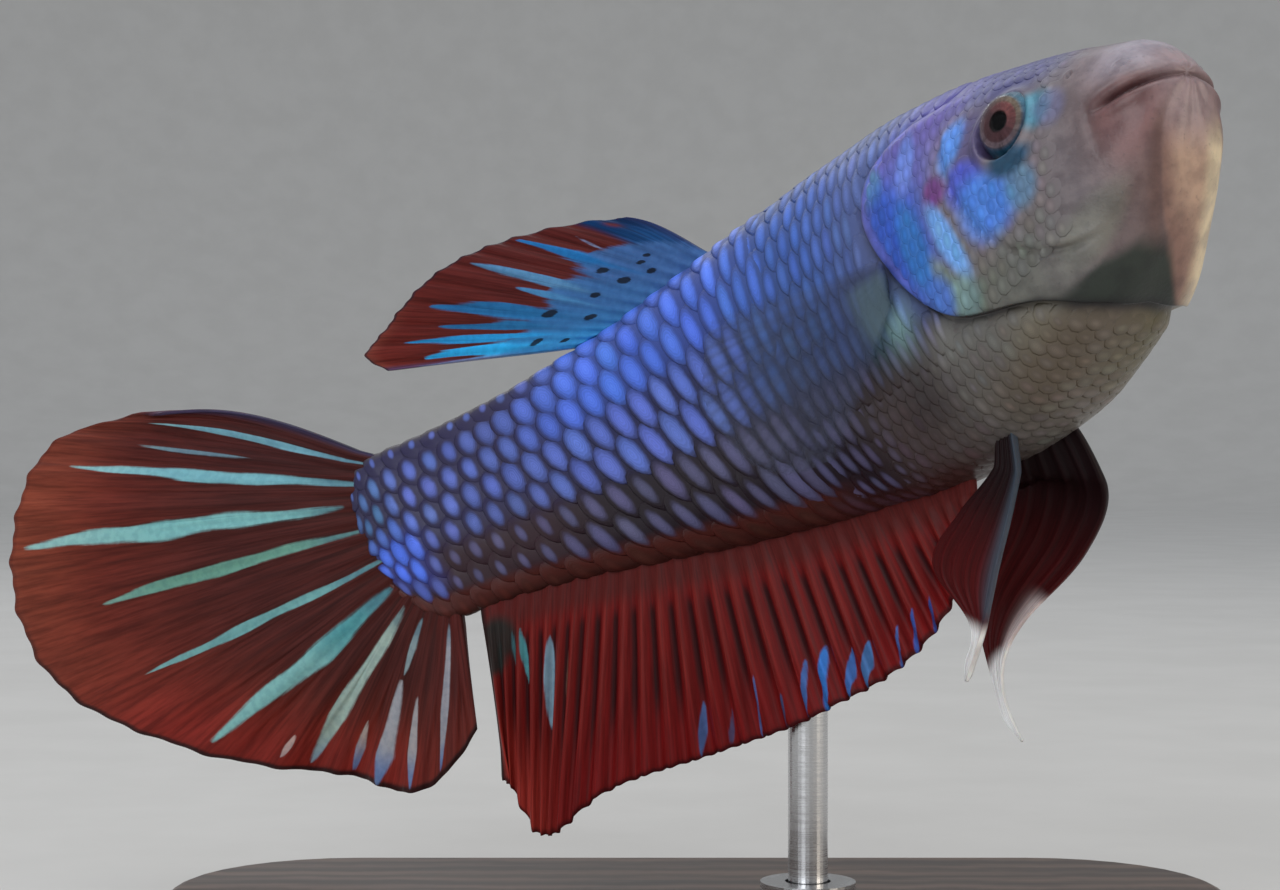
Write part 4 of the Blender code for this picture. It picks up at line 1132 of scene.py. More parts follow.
def make_coat(material):
    """The flank's large scales, smaller ones on the nape and breast, and the smallest on the face."""
    random = np.random.default_rng(11)
    large = plate_shape(16, (0.30, 0.56, 0.78, 0.92, 1.0))
    small = plate_shape(10, (0.50, 0.84, 1.0))

    def body_pitch(t):
        return np.interp(t, PITCH_STATIONS, BODY_PITCH)

    def nape_pitch(t):
        return np.interp(t, NAPE_STATIONS, NAPE_PITCH)

    def body_lean(t):
        return smooth_through(t, LEAN_STATIONS, BODY_LEAN)

    roots = lattice(0.19, LOBE_END, body_pitch, BODY_ROWS, body_lean)
    shown = (roots[0] < LOBE_END - 0.014) & (roots[0] > NAPE_REAR - 0.022)
    roots = chosen(roots, shown)
    make_scales("body_scales", material, roots, BODY_ROWS, BODY_LIFT, random, large)

    roots = lattice(0.12, 0.62, nape_pitch, NAPE_ROWS, body_lean)
    down, behind = down_and_behind(roots)
    shown = (behind > 0.65) & (roots[0] < NAPE_REAR) & (roots[0] > 0.20)
    roots = chosen(roots, shown & ((down < BREAST_TOP) | (roots[0] > BREAST_REAR)))
    make_scales("nape_scales", material, roots, NAPE_ROWS, NAPE_LIFT, random, small, True)

    roots = lattice(0.03, 0.50, lambda t: BREAST_PITCH, BREAST_ROWS)
    down, behind = down_and_behind(roots)
    shown = (behind > 0.80) & (down > BREAST_TOP - 6.0) & (roots[0] < BREAST_REAR + 0.005)
    roots = chosen(roots, shown)
    make_scales("breast_scales", material, roots, BREAST_ROWS, FINE_LIFT, random, small, True)

    roots = lattice(0.085, 0.34, lambda t: FACE_PITCH, FACE_ROWS)
    down, behind = down_and_behind(roots)
    height = section(roots[0], angle_at(roots[0], roots[1]))[0]
    shown = (behind < -0.55) & (from_eye(roots[0], height) > 2.30)
    shown = shown & (down < 124.0) & (roots[0] > 0.088 + 0.0003 * down)
    roots = chosen(roots, shown)
    make_scales("head_scales", material, roots, FACE_ROWS, FINE_LIFT, random, small)


# ==== pieces: fins ================================================================================
CLOSED_BRANCH = 0.035              # half the gap of a ray's branches at its root, in cells


def ray_columns(rays, samples, branch_start, branch_spread, out):
    """Columns of a fin's grid that run along its rays and their branches.

    In each ray's cell, c goes from -0.5 to 0.5. The two branches are at c = -0.25 and 0.25 of the
    column count, and their true place opens from near 0 to the spread as they go out.
    """
    cell = (np.arange(samples) + 0.5) / samples - 0.5
    spread = CLOSED_BRANCH + (branch_spread - CLOSED_BRANCH) * smooth_step(out, branch_start, 1.0)
    size = np.abs(cell)[:, None]
    inner = size / 0.25 * spread[None, :]
    outer = spread[None, :] + (size - 0.25) / 0.25 * (0.5 - spread[None, :])
    true_cell = np.sign(cell)[:, None] * np.where(size < 0.25, inner, outer)
    index = np.arange(rays)[:, None, None]
    along = ((index + 0.5 + true_cell[None]) / rays).reshape(rays * samples, -1)
    c = np.broadcast_to(true_cell[None], (rays,) + true_cell.shape).reshape(along.shape)
    ends = np.vstack([np.zeros(along.shape[1]), along, np.ones(along.shape[1])])
    c = np.vstack([np.full(c.shape[1], -0.5), c, np.full(c.shape[1], 0.5)])
    return ends, c, np.broadcast_to(spread[None, :], c.shape)


def two_sided(points, out, half):
    """A closed sheet: a grid moved both ways along its normals, with its four edges joined.

    Each side has its own half of the UV map, and the joining edge shares the right side's border.
    """
    rows, columns = points.shape[:2]
    quads, row, column = grid_quads(rows, columns)
    total = rows * columns
    shift = out * half[..., None]
    vertices = np.concatenate([points + shift, points - shift]).reshape(-1, 3)
    index = np.arange(total).reshape(rows, columns)
    border = np.concatenate([index[0, :-1], index[:-1, -1], index[-1, :0:-1], index[:0:-1, 0]])
    following = np.roll(border, -1)
    rim = np.stack([border, following, following + total, border + total], axis=-1)

    def laid_out(row, column, start):
        """Places on the UV map for grid rows and columns, in the half that starts at start."""
        u = start + 0.48 * (row / (rows - 1))
        return np.stack([u, 0.01 + 0.98 * (column / (columns - 1))], axis=-1).reshape(-1, 2)

    right = laid_out(row, column, 0.01)
    left = laid_out(row[:, ::-1], column[:, ::-1], 0.51)
    rim_uv = laid_out(rim % total // columns, rim % total % columns, 0.01)
    uv = np.concatenate([right, left, rim_uv])
    return vertices, np.concatenate([quads, (quads + total)[:, ::-1], rim]), uv


def web_grid(rays, samples, rows, base, shape, ripple, branch=(0.45, 0.25), lean=0.0, sink=1.1,
             half=(0.24, 0.09), rib=0.10, pleat=0.10, ragged=0.008, aim=None, bend=None):
    """A fin's sheet as a function of along (root, front to rear) and out (root to margin).

    A point lies on a straight line from its root to the margin: the margin's point is back from its
    own root by the length times the turn's cosine and up by its sine. The aim says which root that
    is, and the bend lifts the line between. The line starts inside the body, by sink mm. The sheet is
    half[0] thick to each side at the root and half[1] at the margin, ribs stand along the ray
    branches, and the membrane sags between rays. The margin is notched between the rays.
    """
    out = np.linspace(0.0, 1.0, rows) ** 0.92
    along, c, spread = ray_columns(rays, samples, branch[0], branch[1], out)
    aimed = along if aim is None else aim(along)
    t, u, w = base(along)
    end_t, end_u, end_w = base(aimed)
    turn, length = shape(aimed)
    turn = np.radians(turn)
    notch = ragged * (np.cos(4 * np.pi * c) - 1.0) + 0.6 * ragged * np.sin(23.0 * along + 1.0)
    length = length * (1.0 + notch)
    root = place(t, u, w)
    rise, back = length * np.sin(turn), length * np.cos(turn)
    end = place(end_t, end_u + rise, end_w + length * lean, ahead=-back)
    length = np.linalg.norm(end - root, axis=-1)
    reach = (length + sink) * out[None, :] - sink
    far = reach / length
    shown = np.clip(far, 0.0, 1.0)
    lifted = 0.0 if bend is None else bend(along, shown)
    moved = place(t, u + lifted, w + ripple(along, shown))
    points = root + (end - root) * far[..., None] + moved - root
    normal = np.cross(np.gradient(points, axis=0), np.gradient(points, axis=1))
    normal /= np.linalg.norm(normal, axis=-1, keepdims=True) + 1e-12
    column_gap = np.linalg.norm(np.gradient(points, axis=0), axis=-1)
    cell = column_gap / np.abs(np.gradient(along, axis=0)) / rays
    from_branch = np.abs(np.abs(c) - spread) * cell
    ridge = bell(from_branch, 0.13 + 0.10 * (1.0 - shown))
    sag = np.cos(2 * np.pi * c) * np.sin(np.pi * np.clip(shown, 0.0, 0.85) / 1.7) ** 0.7
    points = points + normal * (pleat * sag)[..., None]
    thick = half[1] + (half[0] - half[1]) * (1.0 - shown) ** 1.6 + rib * (1.0 - 0.55 * shown) * ridge
    thick = thick * (1.0 - 0.55 * smooth_step(out, 0.975, 1.0))[None, :]
    ray_place = np.stack([along * rays, reach, np.zeros_like(reach)], axis=-1)
    return {
        "points": points, "normal": normal, "half": thick, "along": along, "far": far, "c": c,
        "reach": reach, "length": length, "cell": cell * rays, "ridge": ridge, "ray_place": ray_place,
    }


NO_STREAK = -1.0                   # the streak field's value far from any streak


def make_web(name, material, web, membrane, streak, streak_colour, node, cover=None, dot=None):
    """A fin from its sheet and its markings, which are the same on both sides."""
    vertices, quads, uv = two_sided(web["points"], web["normal"], web["half"])
    streak = np.broadcast_to(streak, web["half"].shape)

    def both(values):
        flat = values.reshape(-1, values.shape[-1]) if values.ndim == 3 else values.ravel()
        return np.concatenate([flat, flat])

    numbers = {"streak": both(streak), "ray_place": both(web["ray_place"])}
    if cover is not None:
        numbers["cover"] = both(cover)
    if dot is not None:
        numbers["dot"] = both(dot)
    piece = make_piece(
        name, vertices, [quads], material, uv=uv,
        colours={"membrane": both(membrane), "streak_colour": both(streak_colour)}, numbers=numbers,
    )
    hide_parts(node)
    return piece


def streak_field(web, streaks):
    """A field above 0 inside any streak, and the streaks' colours.

    A streak runs from one place along the base to another near the margin, is widest at its middle
    and tapers to both ends. Its entries: along at its root and at its tip, where it starts and ends
    as a share of the ray, half its greatest width in mm, where that width is, and its colour.
    """
    far = web["far"]
    field = np.full(far.shape, NO_STREAK)
    colour = np.zeros(far.shape + (3,))
    total = np.full(far.shape, 1e-6)
    for root, tip, start, end, width, widest, tint in streaks:
        share = np.clip((far - start) / (end - start), 0.0, 1.0)
        line = root + (tip - root) * share
        wave = 0.12 * np.sin(0.7 * web["reach"] + 31.0 * root)
        away = np.abs((web["along"] - line) * web["cell"] + width * wave)
        body = np.where(share < widest, share / widest, (1.0 - share) / (1.0 - widest))
        uneven = 1.0 + 0.10 * np.sin(1.3 * web["reach"] + 43.0 * root)
        room = width * uneven * np.clip(body, 0.0, 1.0) ** 0.55
        past = np.maximum(start - far, far - end) * web["length"]
        this = np.where(past > 0, -past / 0.5, (room - away) / max(width, 0.3))
        this = np.where(past > 0, np.minimum(this, (0.0 - away) / 0.3), this)
        field = np.maximum(field, this)
        weight = np.exp(5.0 * np.clip(this, -1.0, 1.0))
        colour = colour + weight[..., None] * tint
        total = total + weight
    return np.clip(field, -1.0, 1.0), colour / total[..., None]


def dots(web, places, size):
    """A cone over each (along, far) place: 1 at its middle, 0.5 at the dot's border and 0 beyond."""
    share = np.zeros(web["far"].shape)
    for along, far, grow in places:
        aside = (web["along"] - along) * web["cell"]
        outwards = (web["far"] - far) * web["length"]
        share = np.maximum(share, 1.0 - 0.5 * np.hypot(aside, outwards) / (size * grow))
    return share


# Each streak has the entries that streak_field names. Each dot has its place along the base, its
# share of the way out and its size beside the others.
CAUDAL_STREAKS = [
    (0.077, 0.062, -0.08, 0.80, 0.29, 0.45, srgb(108, 158, 176)),
    (0.125, 0.120, 0.30, 0.70, 0.17, 0.50, srgb(96, 122, 138)),
    (0.190, 0.170, -0.12, 0.88, 0.36, 0.52, srgb(114, 170, 182)),
    (0.290, 0.295, -0.02, 0.96, 0.57, 0.58, srgb(120, 178, 180)),
    (0.385, 0.395, -0.08, 0.73, 0.38, 0.65, srgb(102, 152, 138)),
    (0.520, 0.505, -0.12, 0.765, 0.35, 0.60, srgb(110, 164, 166)),
    (0.640, 0.618, -0.06, 0.93, 0.76, 0.42, srgb(126, 180, 180)),
    (0.683, 0.683, 0.78, 0.93, 0.25, 0.50, srgb(186, 158, 150)),
    (0.725, 0.713, -0.04, 0.95, 0.55, 0.70, srgb(160, 182, 174)),
    (0.765, 0.768, 0.64, 0.97, 0.28, 0.50, srgb(172, 156, 150)),
    (0.810, 0.812, -0.03, 0.32, 0.24, 0.50, srgb(128, 146, 152)),
    (0.810, 0.812, 0.34, 1.00, 0.58, 0.72, srgb(158, 160, 168)),
    (0.853, 0.873, 0.42, 0.98, 0.34, 0.60, srgb(160, 156, 160)),
    (0.935, 0.925, -0.04, 0.96, 0.32, 0.60, srgb(146, 146, 156)),
]
DORSAL_STREAKS = [
    (0.285, 0.285, 0.05, 0.95, 0.54, 0.42, srgb(32, 108, 172)),
    (0.500, 0.475, 0.05, 0.92, 0.42, 0.50, srgb(88, 140, 184)),
    (0.590, 0.550, 0.05, 0.56, 0.36, 0.45, srgb(74, 134, 184)),
    (0.685, 0.685, 0.05, 0.87, 0.66, 0.45, srgb(38, 108, 164)),
    (0.765, 0.775, 0.05, 0.74, 0.36, 0.50, srgb(38, 108, 162)),
    (0.830, 0.860, 0.00, 0.84, 0.36, 0.50, srgb(42, 152, 218)),
    (0.905, 0.955, 0.00, 0.72, 0.46, 0.45, srgb(46, 172, 236)),
    (1.000, 1.000, 0.05, 0.80, 0.14, 0.50, srgb(104, 112, 152)),
    (0.215, 0.185, 0.45, 0.75, 0.12, 0.50, srgb(116, 120, 150)),
    (0.230, 0.230, -0.70, 0.52, 3.00, 0.70, srgb(60, 96, 150)),
    (0.500, 0.500, -0.60, 0.42, 2.60, 0.70, srgb(56, 100, 154)),
    (0.700, 0.700, -0.60, 0.34, 2.60, 0.70, srgb(50, 104, 158)),
    (0.920, 0.920, -0.60, 0.32, 3.50, 0.70, srgb(50, 128, 186)),
]
DORSAL_DOTS = [
    (0.335, 0.31, 1.1), (0.365, 0.15, 1.15), (0.25, 0.09, 0.9), (0.215, 0.20, 0.8), (0.51, 0.18, 1.0),
    (0.675, 0.27, 1.35), (0.675, 0.07, 1.1), (0.895, 0.16, 1.0), (0.90, 0.03, 0.8), (0.165, 0.23, 0.7),
]
ANAL_STREAKS = [
    (0.916, 0.916, 0.10, 0.36, 0.20, 0.50, srgb(76, 140, 148)),
    (0.938, 0.940, 0.12, 0.30, 0.16, 0.50, srgb(60, 100, 104)),
    (0.848, 0.856, 0.16, 0.56, 0.32, 0.45, srgb(120, 148, 166)),
    (0.800, 0.806, 0.24, 0.54, 0.10, 0.50, srgb(120, 84, 60)),
    (0.522, 0.522, 0.70, 0.99, 0.22, 0.60, srgb(72, 92, 140)),
    (0.474, 0.474, 0.80, 0.99, 0.14, 0.60, srgb(76, 62, 92)),
    (0.424, 0.424, 0.66, 0.99, 0.20, 0.65, srgb(80, 96, 152)),
    (0.376, 0.376, 0.80, 1.00, 0.20, 0.60, srgb(60, 70, 110)),
    (0.332, 0.332, 0.66, 0.99, 0.22, 0.65, srgb(66, 98, 160)),
    (0.296, 0.296, 0.64, 1.02, 0.42, 0.75, srgb(52, 112, 190)),
    (0.246, 0.246, 0.72, 1.01, 0.26, 0.65, srgb(58, 96, 160)),
    (0.214, 0.214, 0.72, 1.01, 0.30, 0.65, srgb(64, 104, 156)),
    (0.156, 0.156, 0.76, 1.01, 0.20, 0.60, srgb(68, 92, 156)),
    (0.130, 0.130, 0.74, 1.01, 0.24, 0.60, srgb(58, 82, 160)),
    (0.100, 0.100, 0.78, 1.01, 0.20, 0.60, srgb(50, 66, 136)),
]


# Along each fin's roots, from its front or its top to its last ray: the turn and length of its rays.
DORSAL_ALONG = [0.0, 0.2, 0.5, 0.8, 0.93, 1.0]
DORSAL_TURN_DEG = [44.5, 36.0, 31.0, 21.0, 17.0, 15.0]
DORSAL_LENGTH = [5.7, 9.6, 12.0, 13.6, 13.6, 11.4]
ANAL_ALONG = [0.0, 0.1, 0.3, 0.5, 0.7, 0.82, 0.90, 0.95, 1.0]
ANAL_TURN_DEG = [-70.0, -71.0, -72.5, -70.5, -68.0, -66.0, -66.0, -66.0, -66.0]
ANAL_LENGTH = [1.8, 5.8, 8.4, 9.7, 11.0, 12.7, 12.8, 12.2, 9.2]
CAUDAL_ALONG = [0.0, 0.1, 0.25, 0.45, 0.6, 0.75, 0.9, 1.0]
CAUDAL_TURN_DEG = [39.0, 31.5, 20.0, 3.0, -13.0, -34.5, -54.0, -66.0]
CAUDAL_LENGTH = [12.0, 16.8, 19.8, 22.0, 16.5, 11.4, 9.5, 5.8]
PECTORAL_ALONG, PECTORAL_LENGTH = [0.0, 0.35, 0.7, 1.0], [8.0, 9.8, 8.4, 5.5]
# How far the anal fin's margin has drifted forward from its own roots.
DRIFT_ALONG = [0.0, 0.1, 0.25, 0.5, 0.7, 0.85, 0.93, 1.0]
DRIFT = [0.0, 0.05, 0.085, 0.055, 0.0, -0.06, -0.055, 0.0]
CAUDAL_TOP, CAUDAL_BOTTOM = 5.95, 5.30    # where the tail's first and last rays root, in mm
PECTORAL_STATION, PECTORAL_ROOT_TOP, PECTORAL_ROOT_DROP = 0.345, 0.2, 3.4
PECTORAL_FIRST_TURN_DEG, PECTORAL_FAN_DEG = 12.0, 62.0
PECTORAL_GAP = 0.8
DORSAL_DOT = 0.30                  # the radius of a dot, in mm

DORSAL_DULL, DORSAL_RED, DORSAL_ROSE = srgb(82, 28, 26), srgb(104, 36, 30), srgb(118, 56, 46)
FRONT_BLUE, FRONT_DEEP_BLUE, FRONT_EDGE = srgb(24, 74, 128), srgb(4, 48, 94), srgb(52, 56, 100)
DORSAL_PATCH, DORSAL_LAST_RAY, DORSAL_MARGIN = srgb(98, 36, 40), srgb(84, 60, 92), srgb(30, 30, 44)
ANAL_RED, ANAL_RAY, ANAL_GROOVE = srgb(112, 19, 20), srgb(122, 40, 36), srgb(46, 5, 9)
ANAL_CORAL, ANAL_ROOT, ANAL_GREEN = srgb(158, 56, 48), srgb(90, 32, 30), srgb(34, 44, 42)
ANAL_LAST_RAY, ANAL_MARGIN = srgb(36, 22, 22), srgb(34, 18, 22)
CAUDAL_BROWN, CAUDAL_RED, CAUDAL_TOP_BROWN = srgb(74, 32, 29), srgb(110, 44, 34), srgb(60, 24, 25)
CAUDAL_RUST, CAUDAL_BRICK, CAUDAL_LOW_BROWN = srgb(136, 70, 50), srgb(132, 40, 34), srgb(92, 34, 31)
CAUDAL_EDGE, CAUDAL_MARGIN, CAUDAL_THIN_MARGIN = srgb(56, 58, 92), srgb(20, 18, 20), srgb(60, 32, 30)
STREAK_BLUE, STREAK_PALE = srgb(80, 114, 172), srgb(150, 190, 188)
STREAK_TEAL, STREAK_ROOT = srgb(40, 128, 140), srgb(70, 100, 118)
CLEAR_SLATE, CLEAR_GREY, CLEAR_ROOT = srgb(62, 72, 100), srgb(74, 82, 104), srgb(104, 132, 138)
PELVIC_DARK, PELVIC_RED, PELVIC_ROOT_SHADE = srgb(42, 7, 10), srgb(72, 11, 13), srgb(16, 7, 10)
PELVIC_SLATE, PELVIC_EDGE, PELVIC_WHITE = srgb(70, 84, 98), srgb(226, 216, 216), srgb(240, 246, 246)


def ray_shape(places, turns_deg, lengths):
    """A fin's rays as a function of along: each ray's turn in degrees and its length."""
    def shape(along):
        return smooth_through(along, places, turns_deg), smooth_through(along, places, lengths)
    return shape


def edge_base(start, reach, edge, clearance):
    """A fin's root line off the back (edge 0) or the belly (edge 1), in the body's middle plane."""
    def base(along):
        t = start + reach * along
        return t, body_size(t)[edge] + clearance, 0.0 * along
    return base


def before_margin(web, low, high):
    """0 until low mm before the margin (given as less than 0), 1 from high mm before it."""
    return smooth_step(web["reach"] - web["length"], low, high)


def make_dorsal(material):
    """The fin on the back: blue with dark dots at its base, fingers of cyan running out into red."""
    def ripple(along, far):
        return 0.5 * np.sin(2.4 * np.pi * along + 0.6) * far**1.5

    def bend(along, far):
        return bell(along, 0.16) * (0.25 * np.sin(np.pi * far) - 0.35 * far**4)

    web = web_grid(
        rays=11, samples=16, rows=110, base=edge_base(0.60, 0.19, 0, FIN_CLEARANCE),
        shape=ray_shape(DORSAL_ALONG, DORSAL_TURN_DEG, DORSAL_LENGTH), ripple=ripple,
        branch=(0.40, 0.24), pleat=0.08, ragged=0.004, bend=bend,
    )
    far, along = web["far"], web["along"]
    leading = fade(along - (0.150 - 0.03 * far), -0.016, 0.016)
    patch = bell(np.hypot((along - 0.080) * web["cell"] / 0.26, (far - 0.76) * web["length"] / 0.55), 1.0)
    membrane = painted(
        DORSAL_DULL,
        (DORSAL_RED, smooth_step(far, 0.45, 1.0) * smooth_step(along, 0.3, 1.0)),
        (DORSAL_ROSE, smooth_step(far, 0.90, 1.0) * smooth_step(along, 0.6, 0.9)),
        (blend(FRONT_BLUE, FRONT_DEEP_BLUE, smooth_step(far, 0.2, 0.8)), leading),
        (DORSAL_PATCH, np.clip(1.2 * patch, 0.0, 0.9)),
        (FRONT_EDGE, 0.6 * bell(along, 0.03)),
        (DORSAL_LAST_RAY, smooth_step(along, 0.97, 1.0) * smooth_step(far, 0.45, 0.6)),
        (DORSAL_MARGIN, 0.8 * before_margin(web, -0.26, -0.08)),
    )
    streak, colour = streak_field(web, DORSAL_STREAKS)
    colour = colour * (1.0 - 0.22 * web["ridge"] * smooth_step(far, 0.0, 0.3))[..., None]
    make_web("dorsal_web", material, web, membrane, streak, colour, "dorsal_fin",
             dot=dots(web, DORSAL_DOTS, DORSAL_DOT))


def make_anal(material):
    """The long fin under the belly: dark grooves between red rays, blue flecks along its margin."""
    def ripple(along, far):
        return 0.45 * np.sin(5.0 * np.pi * along) * far**1.5

    def drift(along):
        return smooth_through(along, DRIFT_ALONG, DRIFT)

    web = web_grid(
        rays=29, samples=12, rows=74, base=edge_base(0.40, 0.585, 1, -FIN_CLEARANCE),
        shape=ray_shape(ANAL_ALONG, ANAL_TURN_DEG, ANAL_LENGTH), ripple=ripple,
        branch=(0.55, 0.22), pleat=0.20, ragged=0.004, aim=lambda along: along - drift(along),
    )
    far, along = web["far"], web["along"]
    groove = smooth_step(np.abs(web["c"]), 0.24, 0.42) * smooth_step(web["reach"], 1.0, 2.0)
    green = dots(web, [(0.968, 0.15, 1.0), (0.985, 0.24, 0.8)], 1.0)
    membrane = painted(
        ANAL_RED,
        (ANAL_RAY, 0.7 * web["ridge"] * fade(far, 0.45, 0.9)),
        (ANAL_GROOVE, 0.95 * (groove * fade(far, 0.55, 0.88))),
        (ANAL_CORAL, 0.85 * (smooth_step(along, 0.74, 0.90) * smooth_step(far, 0.45, 0.95))),
        (ANAL_ROOT, 0.9 * fade(web["reach"], 0.3, 1.5)),
        (ANAL_GREEN, 0.9 * smooth_step(green, 0.2, 0.6)),
        (ANAL_LAST_RAY, smooth_step(along, 0.985, 1.0)),
        (ANAL_MARGIN, 0.7 * before_margin(web, -0.30, -0.10)),
    )
    grid = np.linspace(0.0, 1.0, 101)

    def at_root(place_along, place_far):
        """The root whose ray passes a place, which is given straight out from the base."""
        return float(np.interp(place_along, grid - drift(grid) * place_far, grid))

    streaks = [(at_root(root, start), at_root(tip, end), start, end, *rest)
               for root, tip, start, end, *rest in ANAL_STREAKS]
    streak, colour = streak_field(web, streaks)
    make_web("anal_web", material, web, membrane, streak, colour, "anal_fin")


def make_caudal(material):
    """The tail's fan: red-brown, cupped, with turquoise streaks along its rays."""
    def base(along):
        """A half oval round the end of the tail's lobe, from its top to its bottom."""
        around = np.pi * (0.04 + 0.92 * along)
        u = np.where(np.cos(around) > 0, CAUDAL_TOP, CAUDAL_BOTTOM) * np.cos(around)
        return 1.0 + (TAIL_LOBE + 1.2 * FIN_CLEARANCE / STANDARD_LENGTH) * np.sin(around), u, 0.0 * along

    def ripple(along, far):
        return 1.6 * np.sin(np.pi * along) * far**2 + 0.6 * np.sin(6.0 * np.pi * along) * far**1.5

    def bend(along, far):
        return fade(along, 0.0, 0.16) * (0.9 * np.sin(np.pi * far) - 0.9 * far**2)

    web = web_grid(
        rays=16, samples=20, rows=120, base=base,
        shape=ray_shape(CAUDAL_ALONG, CAUDAL_TURN_DEG, CAUDAL_LENGTH), ripple=ripple,
        branch=(0.30, 0.25), pleat=0.12, sink=1.6, half=(0.26, 0.09), rib=0.11, ragged=0.003, bend=bend,
    )
    far, along = web["far"], web["along"]
    lower = smooth_step(far, 0.50, 0.95) * smooth_step(along, 0.46, 0.60)
    membrane = painted(
        CAUDAL_BROWN,
        (CAUDAL_RED, smooth_step(far, 0.25, 0.90)),
        (CAUDAL_TOP_BROWN, 0.6 * fade(along, 0.10, 0.24)),
        (CAUDAL_RUST, 0.75 * (smooth_step(far, 0.66, 1.0) * bell((along - 0.27) / 0.20, 1.0))),
        (CAUDAL_BRICK, 0.8 * lower * fade(along, 0.84, 0.95)),
        (CAUDAL_LOW_BROWN, 0.6 * smooth_step(along, 0.84, 0.95)),
        (CAUDAL_EDGE, 0.8 * fade(along, 0.0, 0.030)),
    )
    between_rays = smooth_step(np.abs(web["c"]), 0.36, 0.48) * (1.0 - 0.6 * far)
    membrane = painted(
        membrane,
        (membrane * 0.45, 0.6 * between_rays),
        (CAUDAL_MARGIN, 0.9 * (before_margin(web, -0.50, -0.18) * smooth_step(along, 0.36, 0.50))),
        (CAUDAL_THIN_MARGIN, 0.4 * before_margin(web, -0.30, -0.10)),
    )
    streak, colour = streak_field(web, CAUDAL_STREAKS)
    colour = painted(
        colour,
        (STREAK_BLUE, 0.8 * (smooth_step(far, 0.72, 0.94) * smooth_step(along, 0.66, 0.76))),
        (STREAK_PALE, 0.6 * (smooth_step(far, 0.50, 0.90) * fade(along, 0.44, 0.60))),
        (STREAK_TEAL, 0.7 * (fade(far, 0.20, 0.45) * bell((along - 0.63) / 0.05, 1.0))),
        (STREAK_ROOT, 0.6 * fade(far, 0.02, 0.16)),
    )
    make_web("caudal_web", material, web, membrane, streak, colour, "caudal_fin")


def make_pectoral(material, side, word):
    """A clear fan held just off the flank, its rays a little smoky."""
    def base(along):
        """A short slanting line on the flank, a little off the body's oval section."""
        u = PECTORAL_ROOT_TOP - PECTORAL_ROOT_DROP * along
        t = np.full_like(u, PECTORAL_STATION)
        back, belly, width = body_size(t)
        skin = width * np.sqrt(1.0 - ((u - (back + belly) / 2) / ((back - belly) / 2)) ** 2)
        return t, u, side * (skin + PECTORAL_GAP)

    def shape(along):
        turn = PECTORAL_FIRST_TURN_DEG - PECTORAL_FAN_DEG * along
        return turn, smooth_through(along, PECTORAL_ALONG, PECTORAL_LENGTH)

    def ripple(along, far):
        return side * 0.25 * np.sin(3.0 * np.pi * along) * far**1.5

    web = web_grid(
        rays=11, samples=12, rows=60, base=base, shape=shape, ripple=ripple,
        branch=(0.45, 0.22), lean=0.2 * side, sink=1.4, half=(0.20, 0.05), rib=0.07, pleat=0.05,
    )
    far, along = web["far"], web["along"]
    membrane = painted(
        CLEAR_SLATE,
        (CLEAR_GREY, far.clip(0.0, 1.0)),
        (CLEAR_ROOT, 0.6 * (fade(far, 0.0, 0.13) * smooth_step(along, 0.15, 0.35))),
    )
    cover = 0.16 + 0.16 * web["ridge"] + 0.26 * fade(far, -0.04, 0.22) - 0.06 * far.clip(0.0, 1.0)
    cover = cover * smooth_step(np.minimum(along, 1.0 - along), -0.02, 0.10)
    make_web(
        f"pectoral_web_{word}", material, web, membrane, NO_STREAK, membrane,
        f"pectoral_fin_{word}", cover=np.clip(cover, 0.0, 0.95),
    )


PELVIC_STATION, PELVIC_ASIDE, PELVIC_SINK, PELVIC_RIBS = 0.30, 1.6, 1.3, 5.0
PELVIC_OUT = [0.0, 0.12, 0.35, 0.62, 0.76, 1.0]
# Each pelvic blade: its side and word, its length, how much it slants aside across its breadth, and at
# PELVIC_OUT along it the turn of its leading edge, how far it is splayed aside, and its breadth.
PELVIC_BLADES = [
    (-1, "right", 11.0, 0.1, [-62.0, -56.0, -48.0, -50.0, -44.0, -40.0],
     [0.0, 0.1, 0.2, 0.3, 0.3, 0.3], [0.9, 1.5, 2.8, 3.3, 0.9, 0.5]),
    (1, "left", 15.2, -0.5, [-98.0, -54.0, -31.0, -33.0, -64.0, -106.0],
     [0.6, 1.9, 2.2, 0.8, 0.1, 0.1], [3.0, 4.2, 3.8, 2.1, 0.65, 0.35]),
]


def pelvic_colours(side, far, across, ridge):
    """Dark red with a white tip: the right blade's leading edge is slate, the left one's is white."""
    membrane = painted(
        PELVIC_DARK,
        (PELVIC_RED, smooth_step(far, 0.20, 0.60)),
        # Painted shade near the root, where the belly shades the blade.
        (PELVIC_ROOT_SHADE, 0.8 * fade(far, 0.10, 0.36)),
    )
    membrane = blend(membrane, membrane * 1.4, 0.5 * ridge)
    if side < 0:
        edge = (PELVIC_SLATE, 0.85 * (bell(across, 0.12) * fade(far, 0.66, 0.78)))
        white = smooth_step(far, 0.72, 0.80)
    else:
        edge_band = bell(across, 0.17) * smooth_step(far, 0.50, 0.57)
        edge = (PELVIC_EDGE, np.clip(1.2 * edge_band, 0.0, 0.95))
        white = smooth_step(far + 0.07 * (1.0 - across), 0.745, 0.80)
    return painted(membrane, edge, (PELVIC_WHITE, white))


